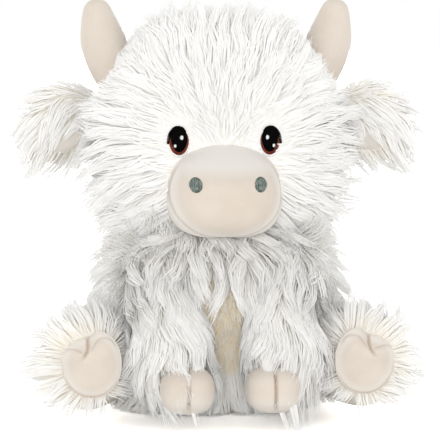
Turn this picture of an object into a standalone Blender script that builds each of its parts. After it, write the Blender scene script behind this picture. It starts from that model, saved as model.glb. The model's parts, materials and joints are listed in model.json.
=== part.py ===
"""Seated plush cow, as the stuffed pieces it is sewn from.

Metres, +Z up, the face towards -Y. The cow stands on z = 0, with the middle of its width and depth at the origin.
Left and right are the viewer's, seen from the front, so left is -X. Each form is a stuffed skin with its filling,
drawn at about the reach of its pile. Run with blender --background --python part.py, or from the text editor.
"""

import math

import bmesh
import bpy
from mathutils import Matrix, Vector

# Clearances
SEAM_GAP = 0.0003
STANDING_FLAT = 0.0005

# Torso: its round top, which the neck seam cuts off, would end a little past that seam
TORSO_HALF_WIDTH = 0.077
TORSO_HALF_DEPTH = 0.058
TORSO_PAST_NECK = 0.012
TORSO_FALL = 0.066
TORSO_MIDDLE_HEIGHT = 0.054
TORSO_TOP_TAPER = 0.10
TORSO_SQUARENESS = 2.4
NECK_HEIGHT = 0.108

# Seat panel and pellet pouch
PANEL_HALF_WIDTH = 0.045
PANEL_HALF_DEPTH = 0.033
PANEL_THICKNESS = 0.002
PANEL_SIDES = 28
POUCH_HALF_WIDTH = 0.034
POUCH_HALF_DEPTH = 0.026
POUCH_HEIGHT = 0.032
POUCH_SQUARENESS = 2.6

# Head, measured from its middle, which lies above the neck seam
HEAD_HALF_WIDTH = 0.077
HEAD_HALF_DEPTH = 0.054
HEAD_RISE = 0.067
HEAD_FALL = 0.074
HEAD_MIDDLE_ABOVE_NECK = 0.066
HEAD_FORWARD = 0.006
HEAD_TOP_TAPER = 0.06
HEAD_SQUARENESS = 2.7

# Muzzle, eyes and nostrils
MUZZLE_HALF_WIDTH = 0.0385
MUZZLE_HALF_HEIGHT = 0.0290
MUZZLE_HALF_DEPTH = 0.026
MUZZLE_PROUD = 0.033
MUZZLE_DROP = 0.035
MUZZLE_TOP_TAPER = 0.12
MUZZLE_LEAN = math.radians(14)
MUZZLE_SQUARENESS = 2.4
EYE_SPREAD = 0.027
EYE_DROP = 0.0045
EYE_HALF_WIDTH = 0.0092
EYE_HALF_HEIGHT = 0.0108
EYE_PROUD = 0.0022
NOSTRIL_SPREAD = 0.019
NOSTRIL_RISE = 0.0065
NOSTRIL_HALF_WIDTH = 0.0052
NOSTRIL_HALF_HEIGHT = 0.0056
NOSTRIL_PROUD = 0.0012

# Horns: a curved middle line from the root, hidden in the head, past the bend to the tip, measured from the head's
# side and middle
HORN_ROOT_INWARD = 0.027
HORN_ROOT_RISE = 0.014
HORN_BEND_OUTWARD = 0.001
HORN_BEND_RISE = 0.050
HORN_TIP_INWARD = 0.0035
HORN_TIP_RISE = 0.0765
HORN_BACK = 0.006
HORN_ROOT_RADIUS = 0.0110
HORN_BELLY_RADIUS = 0.0125
HORN_TIP_RADIUS = 0.0070

# Ears: flattened leaves that stand out from the sides of the head
EAR_RISE = 0.004
EAR_BACK = 0.004
EAR_ROOT_DEPTH = 0.003
EAR_ROOT_BALL = 0.012
EAR_LENGTH = 0.049
EAR_DROOP = math.radians(8)
EAR_NECK_RADIUS = 0.0080
EAR_HALF_HEIGHT = 0.0265
EAR_HALF_THICKNESS = 0.0140
EAR_WIDEST = 0.55
EAR_TIP_ROUNDING = math.radians(76)
LINING_HALF_LENGTH = 0.0155
LINING_HALF_WIDTH = 0.010
LINING_PROUD = 0.0016
LINING_ALONG_EAR = 0.027
LINING_TILT = math.radians(50)

# Front legs: from a ball in the shoulder, down and forward to the hoof
SHOULDER_SPREAD = 0.0385
SHOULDER_FORWARD = 0.036
SHOULDER_DROP = 0.026
SHOULDER_BALL = 0.024
FRONT_FOOT_SPREAD = 0.0270
FRONT_FOOT_REACH = 0.044
FRONT_FOOT_HEIGHT = 0.035
FRONT_LEG_HALF_WIDTH = 0.0195
FRONT_LEG_HALF_DEPTH = 0.0235
ANKLE_HALF_WIDTH = 0.0190
ANKLE_HALF_DEPTH = 0.0200
ANKLE_BLUNTNESS = 0.72
HOOF_HALF_WIDTH = 0.0165
HOOF_HALF_LENGTH = 0.0210
HOOF_HALF_HEIGHT = 0.0140
HOOF_ABOVE_FLOOR = 0.0120
HOOF_AHEAD = 0.011
HOOF_INWARD = 0.002
HOOF_SQUARENESS = 2.4
HOOF_CLEFT_HALF_WIDTH = 0.0008
HOOF_CLEFT_HALF_HEIGHT = 0.0112
HOOF_CLEFT_DEPTH = 0.0110

# Hind legs: from a ball in the hip, forward and outward to the sole
HIP_SPREAD = 0.0615
HIP_BACK = 0.006
HIP_BALL = 0.027
HIND_FOOT_SPREAD = 0.0895
HIND_FOOT_REACH = 0.072
HIND_LEG_HALF_WIDTH = 0.0290
HIND_LEG_HALF_HEIGHT = 0.0335
HIND_FOOT_NARROWING = 0.96
HIND_LEG_BLUNTNESS = 0.84
SOLE_HALF_WIDTH = 0.0180
SOLE_HALF_HEIGHT = 0.0198
SOLE_PROUD = 0.0075
SOLE_SPREAD = 0.0795
SOLE_HEIGHT = 0.0405
SOLE_SQUARENESS = 2.3
SOLE_CLEFT_HALF_WIDTH = 0.0008
SOLE_CLEFT_HALF_LENGTH = 0.0110
SOLE_CLEFT_DEPTH = 0.0045
SOLE_CLEFT_OUTWARD = 0.0040
SOLE_CLEFT_RISE = 0.0139

# Tail and its tuft
TAIL_ROOT_HEIGHT = 0.030
TAIL_ROOT_DEPTH = 0.003
TAIL_ROOT_BALL = 0.0085
TAIL_NECK_RADIUS = 0.0055
TAIL_RADIUS = 0.0080
TAIL_LENGTH = 0.042
TUFT_RADIUS = 0.0125
TUFT_HALF_LENGTH = 0.0150
TUFT_ABOVE_FLOOR = 0.0005

# Limb ends: the first ring lies behind the joint, within the root's ball, and the last one past the end.
# Each is a share of the ball's radius, or of how sharp the end is.
ROOT_SIZE = 0.98
ROOT_RING_BACK = 0.34
ROOT_RING_SIZE = 0.88
END_RING_AHEAD = 1.9

# Fineness of the cages, around and from pole to pole, before one subdivision
BODY_CAGE = (14, 8)
MUZZLE_CAGE = (10, 8)
SMALL_CAGE = (10, 6)
PATCH_CAGE = (6, 4)
LIMB_SIDES = 10
LIMB_SPANS = 4
LARGE_BALL_FACETS = (16, 10)
SMALL_BALL_FACETS = (14, 8)
CREASE_ANGLE = math.radians(40)

# Further than any piece reaches
OUTSIDE = 0.5

UPWARD = Vector((0, 0, 1))
FRONT_TO_BACK = Vector((0, 1, 0))
LEFT_TO_RIGHT = Vector((1, 0, 0))
SIDES = {"left": -1, "right": 1}


def clear_scene():
    """Removes what the scene starts with."""
    for obj in list(bpy.data.objects):
        bpy.data.objects.remove(obj, do_unlink=True)


def new_collection(name):
    """A collection in the scene."""
    collection = bpy.data.collections.new(name)
    bpy.context.scene.collection.children.link(collection)
    return collection


def new_material(name, colour, roughness):
    """A plain fabric or thread."""
    material = bpy.data.materials.new(name)
    material.use_nodes = True
    shader = material.node_tree.nodes["Principled BSDF"]
    shader.inputs["Base Color"].default_value = (*colour, 1)
    shader.inputs["Roughness"].default_value = roughness
    shader.inputs["Metallic"].default_value = 0.0
    return material


clear_scene()
PIECES = new_collection("plush_cow")
CUTTERS = new_collection("cutters")
LONG_PILE = new_material("long_pile", (0.90, 0.87, 0.80), 0.95)
SHORT_PILE = new_material("short_pile", (0.75, 0.66, 0.56), 0.90)
EYE_THREAD = new_material("eye_thread", (0.10, 0.02, 0.02), 0.35)
NOSTRIL_THREAD = new_material("nostril_thread", (0.16, 0.20, 0.17), 0.60)
WOVEN_CLOTH = new_material("woven_cloth", (0.70, 0.66, 0.60), 0.85)


def object_from(bm, name, collection):
    """Turns a closed bmesh into a named object whose faces point outwards."""
    bmesh.ops.recalc_face_normals(bm, faces=bm.faces)
    mesh = bpy.data.meshes.new(name)
    bm.to_mesh(mesh)
    bm.free()
    obj = bpy.data.objects.new(name, mesh)
    collection.objects.link(obj)
    if collection is CUTTERS:
        obj.hide_render = True
        obj.display_type = "WIRE"
    return obj


def keep_evaluated(obj):
    """Makes what the modifiers give the object's own mesh."""
    graph = bpy.context.evaluated_depsgraph_get()
    mesh = bpy.data.meshes.new_from_object(obj.evaluated_get(graph), depsgraph=graph)
    obj.modifiers.clear()
    obj.data = mesh


def rounded(obj):
    """Rounds a coarse cage with one subdivision, in triangles, so that a grown copy has the same facets."""
    modifier = obj.modifiers.new("rounding", "SUBSURF")
    modifier.levels = 1
    modifier.render_levels = 1
    obj.modifiers.new("facets", "TRIANGULATE")
    keep_evaluated(obj)
    return obj


def carve(piece, cutter, operation="DIFFERENCE"):
    """Cuts a cutter from a piece, or joins it on."""
    modifier = piece.modifiers.new(operation.lower(), "BOOLEAN")
    modifier.operation = operation
    modifier.object = cutter
    keep_evaluated(piece)


def grown(form, name, clearance=SEAM_GAP):
    """A cutter in the shape of a form, standing off it by a clearance."""
    bm = bmesh.new()
    bm.from_mesh(form.data)
    bm.normal_update()
    for vert in bm.verts:
        vert.co += vert.normal * clearance
    return object_from(bm, name, CUTTERS)


def slab_between(name, low_height, high_height):
    """A cutter that fills all the space between two heights."""
    bm = bmesh.new()
    bmesh.ops.create_cube(bm, size=1.0)
    bmesh.ops.scale(bm, verts=bm.verts, vec=Vector((2 * OUTSIDE, 2 * OUTSIDE, high_height - low_height)))
    bmesh.ops.translate(bm, verts=bm.verts, vec=Vector((0, 0, (high_height + low_height) / 2)))
    return object_from(bm, name, CUTTERS)


def finished(piece, material):
    """Gives a piece its one material and its smooth shading."""
    piece.data.materials.clear()
    piece.data.materials.append(material)
    piece.data.shade_smooth()
    piece.data.set_sharp_from_angle(angle=CREASE_ANGLE)
    return piece


def surface_under(form, start, direction):
    """Where a line from outside first meets a form, and how the form faces there."""
    _, point, normal, _ = form.ray_cast(start, direction)
    return point, normal


def cage_swell(sides):
    """How far a ring of a cage stands off, so that its subdivision lands on the size asked for."""
    return 1 / math.cos(math.pi / sides)


def swelling_ball(name, middle, half_sizes, cage, collection=PIECES, squareness=2.0, fall=None, top_taper=0.0,
                  turn=None):
    """A ball of unlike half sizes, rounder or squarer, that may narrow towards its top."""
    around, upward = cage
    half_width, half_depth, rise = half_sizes
    fall = rise if fall is None else fall
    bm = bmesh.new()
    bmesh.ops.create_uvsphere(bm, u_segments=around, v_segments=upward, radius=1.0)
    for vert in bm.verts:
        flat = vert.co.normalized()
        point = flat * sum(abs(part) ** squareness for part in flat) ** (-1 / squareness)
        wide = cage_swell(around) * (1 - top_taper * (point.z + 1) / 2)
        tall = cage_swell(2 * upward) * (rise if point.z > 0 else fall)
        vert.co = Vector((point.x * half_width * wide, point.y * half_depth * wide, point.z * tall))
    if turn is not None:
        bmesh.ops.transform(bm, matrix=turn, verts=bm.verts)
    bmesh.ops.translate(bm, verts=bm.verts, vec=middle)
    return rounded(object_from(bm, name, collection))


def lofted_limb(name, stations, side_way):
    """A closed skin over rings along a line: each has its middle, its half size along side_way and across it."""
    bm = bmesh.new()
    rings = []
    last = len(stations) - 1
    for index, (middle, half_side, half_across) in enumerate(stations):
        along = stations[min(index + 1, last)][0] - stations[max(index - 1, 0)][0]
        across = along.cross(side_way).normalized()
        sideways = across.cross(along).normalized()
        ring = []
        for step in range(LIMB_SIDES):
            angle = 2 * math.pi * (step + 0.5) / LIMB_SIDES
            offset = sideways * (half_side * math.cos(angle)) + across * (half_across * math.sin(angle))
            ring.append(bm.verts.new(middle + offset * cage_swell(LIMB_SIDES)))
        rings.append(ring)
    for ring, following in zip(rings, rings[1:]):
        for step in range(LIMB_SIDES):
            turned = (step + 1) % LIMB_SIDES
            bm.faces.new((ring[step], ring[turned], following[turned], following[step]))
    bm.faces.new(rings[0])
    bm.faces.new(rings[-1])
    return rounded(object_from(bm, name, PIECES))


def limb_stations(start, end, root_radius, middle_sizes, end_sizes, bluntness):
    """Rings from a limb's round root to its end that swell in the middle, with a smaller ring behind each end.

    A blunter end has its last ring closer and wider.
    """
    along = (end - start).normalized()
    root_size = ROOT_SIZE * root_radius
    first_size = ROOT_RING_SIZE * root_radius
    stations = [(start - along * (ROOT_RING_BACK * root_radius), first_size, first_size)]
    for index in range(LIMB_SPANS + 1):
        part = index / LIMB_SPANS
        sizes = []
        for middle, tip in zip(middle_sizes, end_sizes):
            swell = middle - (root_size + tip) / 2
            sizes.append((1 - part) * root_size + part * tip + swell * math.sin(math.pi * part))
        stations.append((start.lerp(end, part), *sizes))
    last_middle = end + along * (END_RING_AHEAD * (1 - bluntness) * min(end_sizes))
    stations.append((last_middle, bluntness * end_sizes[0], bluntness * end_sizes[1]))
    return stations


def ball(name, middle, radius, facets):
    """A plain ball, as a cutter or to be joined on."""
    bm = bmesh.new()
    bmesh.ops.create_uvsphere(bm, u_segments=facets[0], v_segments=facets[1], radius=radius)
    bmesh.ops.translate(bm, verts=bm.verts, vec=middle)
    return object_from(bm, name, CUTTERS)


def socket_radius(radius, facets):
    """The corner radius of a faceted socket whose flats still clear a turning ball."""
    around, upward = facets
    return (radius + SEAM_GAP) / (math.cos(math.pi / around) * math.cos(math.pi / (2 * upward)))


def seat_ball_joint(limb, carrier, carrier_surface, pivot, radius, facets):
    """Gives a limb a ball at its root and its carrier the socket, and trims the limb to the carrier's outside.

    Inside the carrier only the ball is left, so the limb can turn about the ball's middle.
    """
    carve(limb, ball(limb.name + "_ball", pivot, radius, facets), "UNION")
    carve(carrier, ball(limb.name + "_socket", pivot, socket_radius(radius, facets), facets))
    outside = grown(carrier_surface, limb.name + "_trim")
    carve(outside, ball(limb.name + "_free", pivot, radius + SEAM_GAP / 2, facets))
    carve(limb, outside)


def facing_patch(name, carrier, aim, direction, half_sizes, long_way):
    """A crowned oval, sunk in its carrier where a line meets it and turned to lie along it."""
    point, normal = surface_under(carrier, aim, direction)
    across = long_way.cross(normal).normalized()
    upward = normal.cross(across).normalized()
    turn = Matrix((across, -normal, upward)).transposed().to_4x4()
    return swelling_ball(name, point, half_sizes, PATCH_CAGE, turn=turn)


def make_torso():
    """The body, flat at the neck seam and over the seat panel, with a pocket for the pellet pouch."""
    rise = NECK_HEIGHT + TORSO_PAST_NECK - TORSO_MIDDLE_HEIGHT
    torso = swelling_ball(
        "torso", Vector((0, 0, TORSO_MIDDLE_HEIGHT)), (TORSO_HALF_WIDTH, TORSO_HALF_DEPTH, rise), BODY_CAGE,
        squareness=TORSO_SQUARENESS, fall=TORSO_FALL, top_taper=TORSO_TOP_TAPER,
    )
    surface = grown(torso, "torso_surface", 0)
    carve(torso, slab_between("above_neck", NECK_HEIGHT, OUTSIDE))
    carve(torso, slab_between("below_torso", -OUTSIDE, PANEL_THICKNESS + SEAM_GAP))
    return finished(torso, LONG_PILE), surface


def make_seat_panel():
    """The flat panel that closes the seat, on which the cow stands."""
    bm = bmesh.new()
    bmesh.ops.create_cone(bm, cap_ends=True, segments=PANEL_SIDES, radius1=1.0, radius2=1.0, depth=PANEL_THICKNESS)
    bmesh.ops.scale(bm, verts=bm.verts, vec=Vector((PANEL_HALF_WIDTH, PANEL_HALF_DEPTH, 1)))
    bmesh.ops.translate(bm, verts=bm.verts, vec=Vector((0, 0, PANEL_THICKNESS / 2)))
    return finished(object_from(bm, "seat_panel", PIECES), LONG_PILE)


def make_pellet_pouch(torso):
    """The pouch of pellets that weights the seat: it lies on the seat panel, in a pocket of the filling."""
    rest_height = PANEL_THICKNESS + SEAM_GAP
    middle = Vector((0, 0, rest_height + POUCH_HEIGHT / 2 - STANDING_FLAT))
    pouch = swelling_ball(
        "pellet_pouch", middle, (POUCH_HALF_WIDTH, POUCH_HALF_DEPTH, POUCH_HEIGHT / 2), SMALL_CAGE,
        squareness=POUCH_SQUARENESS,
    )
    carve(torso, grown(pouch, "pouch_pocket"))
    carve(pouch, slab_between("below_pouch", -OUTSIDE, rest_height))
    return finished(pouch, WOVEN_CLOTH)


def make_head():
    """The head, flat at the neck seam so that it can turn there."""
    middle = Vector((0, -HEAD_FORWARD, NECK_HEIGHT + HEAD_MIDDLE_ABOVE_NECK))
    head = swelling_ball(
        "head", middle, (HEAD_HALF_WIDTH, HEAD_HALF_DEPTH, HEAD_RISE), BODY_CAGE,
        squareness=HEAD_SQUARENESS, fall=HEAD_FALL, top_taper=HEAD_TOP_TAPER,
    )
    surface = grown(head, "head_surface", 0)
    carve(head, slab_between("below_head", -OUTSIDE, NECK_HEIGHT + SEAM_GAP))
    return finished(head, LONG_PILE), surface, middle


def make_muzzle(head_surface, head_trim, head_middle):
    """The muzzle, a stuffed pad that stands proud of the head's front and leans back at its top."""
    root, _ = surface_under(head_surface, Vector((0, -OUTSIDE, head_middle.z - MUZZLE_DROP)), FRONT_TO_BACK)
    middle = root - Vector((0, MUZZLE_PROUD - MUZZLE_HALF_DEPTH, 0))
    muzzle = swelling_ball(
        "muzzle", middle, (MUZZLE_HALF_WIDTH, MUZZLE_HALF_DEPTH, MUZZLE_HALF_HEIGHT), MUZZLE_CAGE,
        squareness=MUZZLE_SQUARENESS, top_taper=MUZZLE_TOP_TAPER, turn=Matrix.Rotation(-MUZZLE_LEAN, 4, "X"),
    )
    surface = grown(muzzle, "muzzle_surface", 0)
    carve(muzzle, head_trim)
    carve(muzzle, slab_between("below_muzzle", -OUTSIDE, NECK_HEIGHT + SEAM_GAP))
    return finished(muzzle, SHORT_PILE), surface, middle


def make_eye(side, sign, head_surface, head_trim, muzzle_trim, head_middle):
    """An embroidered eye: a raised oval on the head, trimmed where the muzzle's edge comes close."""
    aim = Vector((sign * EYE_SPREAD, -OUTSIDE, head_middle.z - EYE_DROP))
    sizes = (EYE_HALF_WIDTH, EYE_PROUD, EYE_HALF_HEIGHT)
    eye = facing_patch(f"eye_{side}", head_surface, aim, FRONT_TO_BACK, sizes, UPWARD)
    carve(eye, head_trim)
    carve(eye, muzzle_trim)
    return finished(eye, EYE_THREAD)


def make_nostril(side, sign, muzzle_surface, muzzle_trim, muzzle_middle):
    """An embroidered nostril: a raised oval on the muzzle."""
    aim = Vector((sign * NOSTRIL_SPREAD, -OUTSIDE, muzzle_middle.z + NOSTRIL_RISE))
    sizes = (NOSTRIL_HALF_WIDTH, NOSTRIL_PROUD, NOSTRIL_HALF_HEIGHT)
    nostril = facing_patch(f"nostril_{side}", muzzle_surface, aim, FRONT_TO_BACK, sizes, UPWARD)
    carve(nostril, muzzle_trim)
    return finished(nostril, NOSTRIL_THREAD)


def make_horn(side, sign, head_trim, head_middle):
    """A stuffed horn, thickest at its bend and round at its tip."""
    root = head_middle + Vector((sign * (HEAD_HALF_WIDTH - HORN_ROOT_INWARD), HORN_BACK, HORN_ROOT_RISE))
    bend = head_middle + Vector((sign * (HEAD_HALF_WIDTH + HORN_BEND_OUTWARD), HORN_BACK, HORN_BEND_RISE))
    tip = head_middle + Vector((sign * (HEAD_HALF_WIDTH - HORN_TIP_INWARD), HORN_BACK, HORN_TIP_RISE))
    swell = HORN_BELLY_RADIUS - (HORN_ROOT_RADIUS + HORN_TIP_RADIUS) / 2
    spans = LIMB_SPANS + 2
    stations = []
    for index in range(spans + 1):
        part = index / spans
        middle = root.lerp(bend, part).lerp(bend.lerp(tip, part), part)
        radius = (1 - part) * HORN_ROOT_RADIUS + part * HORN_TIP_RADIUS + swell * math.sin(math.pi * part)
        stations.append((middle, radius, radius))
    horn = lofted_limb(f"horn_{side}", stations, FRONT_TO_BACK)
    carve(horn, head_trim)
    return finished(horn, SHORT_PILE)


def leaf_stations(pivot, along):
    """Rings of an ear: a narrow neck out of the head, the widest place past the middle and a round tip."""
    stations = [(pivot - along * EAR_NECK_RADIUS / 2, EAR_NECK_RADIUS, EAR_NECK_RADIUS)]
    spans = LIMB_SPANS + 2
    for index in range(spans + 1):
        part = index / spans
        if part < EAR_WIDEST:
            widened = (part / EAR_WIDEST) ** 2
            half_height = EAR_NECK_RADIUS + widened * (EAR_HALF_HEIGHT - EAR_NECK_RADIUS)
            half_thickness = EAR_NECK_RADIUS + widened * (EAR_HALF_THICKNESS - EAR_NECK_RADIUS)
        else:
            narrowed = math.cos(EAR_TIP_ROUNDING * (part - EAR_WIDEST) / (1 - EAR_WIDEST))
            half_height = narrowed * EAR_HALF_HEIGHT
            half_thickness = narrowed * EAR_HALF_THICKNESS
        stations.append((pivot + along * (part * EAR_LENGTH), half_thickness, half_height))
    return stations


def make_ear(side, sign, head, head_surface, head_middle):
    """An ear on a ball root at the side of the head, drooping a little."""
    aim = head_middle + Vector((sign * OUTSIDE, EAR_BACK, EAR_RISE))
    root, _ = surface_under(head_surface, aim, Vector((-sign, 0, 0)))
    pivot = root - Vector((sign * EAR_ROOT_DEPTH, 0, 0))
    along = Vector((sign * math.cos(EAR_DROOP), 0, -math.sin(EAR_DROOP)))
    ear = lofted_limb(f"ear_{side}", leaf_stations(pivot, along), FRONT_TO_BACK)
    surface = grown(ear, f"ear_{side}_surface", 0)
    seat_ball_joint(ear, head, head_surface, pivot, EAR_ROOT_BALL, SMALL_BALL_FACETS)
    return finished(ear, LONG_PILE), surface, pivot, along


def make_ear_lining(side, ear_surface, pivot, along):
    """The beige lining on an ear's lower front."""
    look = Vector((0, math.cos(LINING_TILT), math.sin(LINING_TILT)))
    aim = pivot + along * LINING_ALONG_EAR - look * OUTSIDE
    sizes = (LINING_HALF_WIDTH, LINING_PROUD, LINING_HALF_LENGTH)
    lining = facing_patch(f"ear_lining_{side}", ear_surface, aim, look, sizes, along)
    carve(lining, grown(ear_surface, f"lining_{side}_trim"))
    return finished(lining, SHORT_PILE)


def make_hind_leg(side, sign, torso, torso_surface, floor):
    """A hind leg, from its ball in the hip forward and outward, flat where it lies on the floor."""
    lying_height = HIND_LEG_HALF_HEIGHT - STANDING_FLAT
    pivot = Vector((sign * HIP_SPREAD, HIP_BACK, lying_height))
    foot = Vector((sign * HIND_FOOT_SPREAD, -HIND_FOOT_REACH, lying_height))
    middle_sizes = (HIND_LEG_HALF_WIDTH, HIND_LEG_HALF_HEIGHT)
    end_sizes = tuple(HIND_FOOT_NARROWING * size for size in middle_sizes)
    stations = limb_stations(pivot, foot, HIP_BALL, middle_sizes, end_sizes, HIND_LEG_BLUNTNESS)
    leg = lofted_limb(f"hind_leg_{side}", stations, LEFT_TO_RIGHT)
    seat_ball_joint(leg, torso, torso_surface, pivot, HIP_BALL, LARGE_BALL_FACETS)
    surface = grown(leg, f"hind_leg_{side}_surface", 0)
    carve(leg, floor)
    return finished(leg, LONG_PILE), surface, pivot


def make_hind_sole(side, sign, leg_surface):
    """A split sole on the end of a hind leg."""
    aim = Vector((sign * SOLE_SPREAD, -OUTSIDE, SOLE_HEIGHT))
    point, _ = surface_under(leg_surface, aim, FRONT_TO_BACK)
    sole = swelling_ball(
        f"hind_sole_{side}", point, (SOLE_HALF_WIDTH, SOLE_PROUD, SOLE_HALF_HEIGHT), SMALL_CAGE,
        squareness=SOLE_SQUARENESS,
    )
    carve(sole, grown(leg_surface, f"hind_leg_{side}_trim"))
    cleft = point + Vector((sign * SOLE_CLEFT_OUTWARD, -SOLE_PROUD, SOLE_CLEFT_RISE))
    sizes = (SOLE_CLEFT_HALF_WIDTH, SOLE_CLEFT_DEPTH, SOLE_CLEFT_HALF_LENGTH)
    carve(sole, swelling_ball(f"sole_cleft_{side}", cleft, sizes, PATCH_CAGE, CUTTERS))
    return finished(sole, SHORT_PILE)


def make_front_leg(side, sign, torso, torso_surface, hind_leg_surface):
    """A front leg, from its ball in the shoulder down and forward in front of the belly."""
    pivot = Vector((sign * SHOULDER_SPREAD, -SHOULDER_FORWARD, NECK_HEIGHT - SHOULDER_DROP))
    foot = Vector((sign * FRONT_FOOT_SPREAD, pivot.y - FRONT_FOOT_REACH, FRONT_FOOT_HEIGHT))
    middle_sizes = (FRONT_LEG_HALF_WIDTH, FRONT_LEG_HALF_DEPTH)
    end_sizes = (ANKLE_HALF_WIDTH, ANKLE_HALF_DEPTH)
    stations = limb_stations(pivot, foot, SHOULDER_BALL, middle_sizes, end_sizes, ANKLE_BLUNTNESS)
    leg = lofted_limb(f"front_leg_{side}", stations, LEFT_TO_RIGHT)
    seat_ball_joint(leg, torso, torso_surface, pivot, SHOULDER_BALL, LARGE_BALL_FACETS)
    carve(leg, grown(hind_leg_surface, f"thigh_{side}_trim"))
    surface = grown(leg, f"front_leg_{side}_surface", 0)
    return finished(leg, LONG_PILE), surface, pivot, foot


def make_front_hoof(side, sign, leg_surface, foot):
    """A split hoof at the end of a front leg, with room under it for the pile that it rests on."""
    middle = Vector((foot.x - sign * HOOF_INWARD, foot.y - HOOF_AHEAD, HOOF_ABOVE_FLOOR + HOOF_HALF_HEIGHT))
    hoof = swelling_ball(
        f"front_hoof_{side}", middle, (HOOF_HALF_WIDTH, HOOF_HALF_LENGTH, HOOF_HALF_HEIGHT), SMALL_CAGE,
        squareness=HOOF_SQUARENESS,
    )
    carve(hoof, grown(leg_surface, f"front_leg_{side}_trim"))
    cleft = middle - Vector((0, HOOF_HALF_LENGTH, 0))
    sizes = (HOOF_CLEFT_HALF_WIDTH, HOOF_CLEFT_DEPTH, HOOF_CLEFT_HALF_HEIGHT)
    carve(hoof, swelling_ball(f"hoof_cleft_{side}", cleft, sizes, PATCH_CAGE, CUTTERS))
    return finished(hoof, SHORT_PILE)


def make_tail(torso, torso_surface):
    """The tail, which slopes from its root in the back down to the tuft that lies on the floor."""
    root, _ = surface_under(torso_surface, Vector((0, OUTSIDE, TAIL_ROOT_HEIGHT)), Vector((0, -1, 0)))
    pivot = root - Vector((0, TAIL_ROOT_DEPTH, 0))
    drop = TAIL_ROOT_HEIGHT - TUFT_RADIUS - TUFT_ABOVE_FLOOR
    tip = pivot + Vector((0, math.sqrt(TAIL_LENGTH ** 2 - drop ** 2), -drop))
    sizes = (TAIL_RADIUS, TAIL_RADIUS)
    stations = limb_stations(pivot, tip, TAIL_NECK_RADIUS, sizes, sizes, ANKLE_BLUNTNESS)
    tail = lofted_limb("tail", stations, LEFT_TO_RIGHT)
    seat_ball_joint(tail, torso, torso_surface, pivot, TAIL_ROOT_BALL, SMALL_BALL_FACETS)
    tuft = swelling_ball("tail_tuft", tip, (TUFT_RADIUS, TUFT_HALF_LENGTH, TUFT_RADIUS), SMALL_CAGE)
    carve(tail, grown(tuft, "tuft_trim"))
    return finished(tail, LONG_PILE), finished(tuft, LONG_PILE), pivot


def turn_about(piece, pivot, *riders):
    """Puts a moving piece's origin on its joint, and lets what is sewn to it ride along."""
    piece.data.transform(Matrix.Translation(-pivot))
    piece.location = pivot
    bpy.context.view_layer.update()
    for rider in riders:
        rider.parent = piece
        rider.matrix_parent_inverse = piece.matrix_world.inverted()


def centre_on_origin():
    """Moves the whole cow along Y, so that the middle of its depth lies at the origin."""
    bpy.context.view_layer.update()
    depths = [(obj.matrix_world @ vert.co).y for obj in PIECES.objects for vert in obj.data.vertices]
    shift = -(min(depths) + max(depths)) / 2
    for obj in PIECES.objects:
        if obj.parent is None:
            obj.location.y += shift
    bpy.context.view_layer.update()


def make_cow():
    """All the pieces, the larger ones first, because they cut the smaller ones."""
    floor = slab_between("floor", -OUTSIDE, 0)
    torso, torso_surface = make_torso()
    make_seat_panel()
    make_pellet_pouch(torso)
    head, head_surface, head_middle = make_head()
    head_trim = grown(head_surface, "head_trim")
    muzzle, muzzle_surface, muzzle_middle = make_muzzle(head_surface, head_trim, head_middle)
    muzzle_trim = grown(muzzle_surface, "muzzle_trim")
    on_head = [muzzle]
    for side, sign in SIDES.items():
        on_head.append(make_eye(side, sign, head_surface, head_trim, muzzle_trim, head_middle))
        on_head.append(make_nostril(side, sign, muzzle_surface, muzzle_trim, muzzle_middle))
        on_head.append(make_horn(side, sign, head_trim, head_middle))
        ear, ear_surface, ear_pivot, ear_along = make_ear(side, sign, head, head_surface, head_middle)
        lining = make_ear_lining(side, ear_surface, ear_pivot, ear_along)
        turn_about(ear, ear_pivot, lining)
        on_head.append(ear)
        hind_leg, hind_surface, hip = make_hind_leg(side, sign, torso, torso_surface, floor)
        turn_about(hind_leg, hip, make_hind_sole(side, sign, hind_surface))
        front_leg, front_surface, shoulder, foot = make_front_leg(side, sign, torso, torso_surface, hind_surface)
        turn_about(front_leg, shoulder, make_front_hoof(side, sign, front_surface, foot))
    tail, tuft, tail_pivot = make_tail(torso, torso_surface)
    turn_about(tail, tail_pivot, tuft)
    turn_about(head, Vector((0, 0, NECK_HEIGHT)), *on_head)
    centre_on_origin()


make_cow()
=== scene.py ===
"""Seated plush cow with a long cream-white pile, sewn beige muzzle, horns, hooves and soles.

Metres, +Z up, the face towards -Y. Left and right are the viewer's, seen from the front, so left is -X. The sections
follow the cow as it is sewn together, and each holds its own sizes, colours, shapes and materials.
"""

import json
import math

import bmesh
import bpy
import numpy as np
from mathutils import Matrix, Vector, noise
from mathutils.bvhtree import BVHTree


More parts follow.
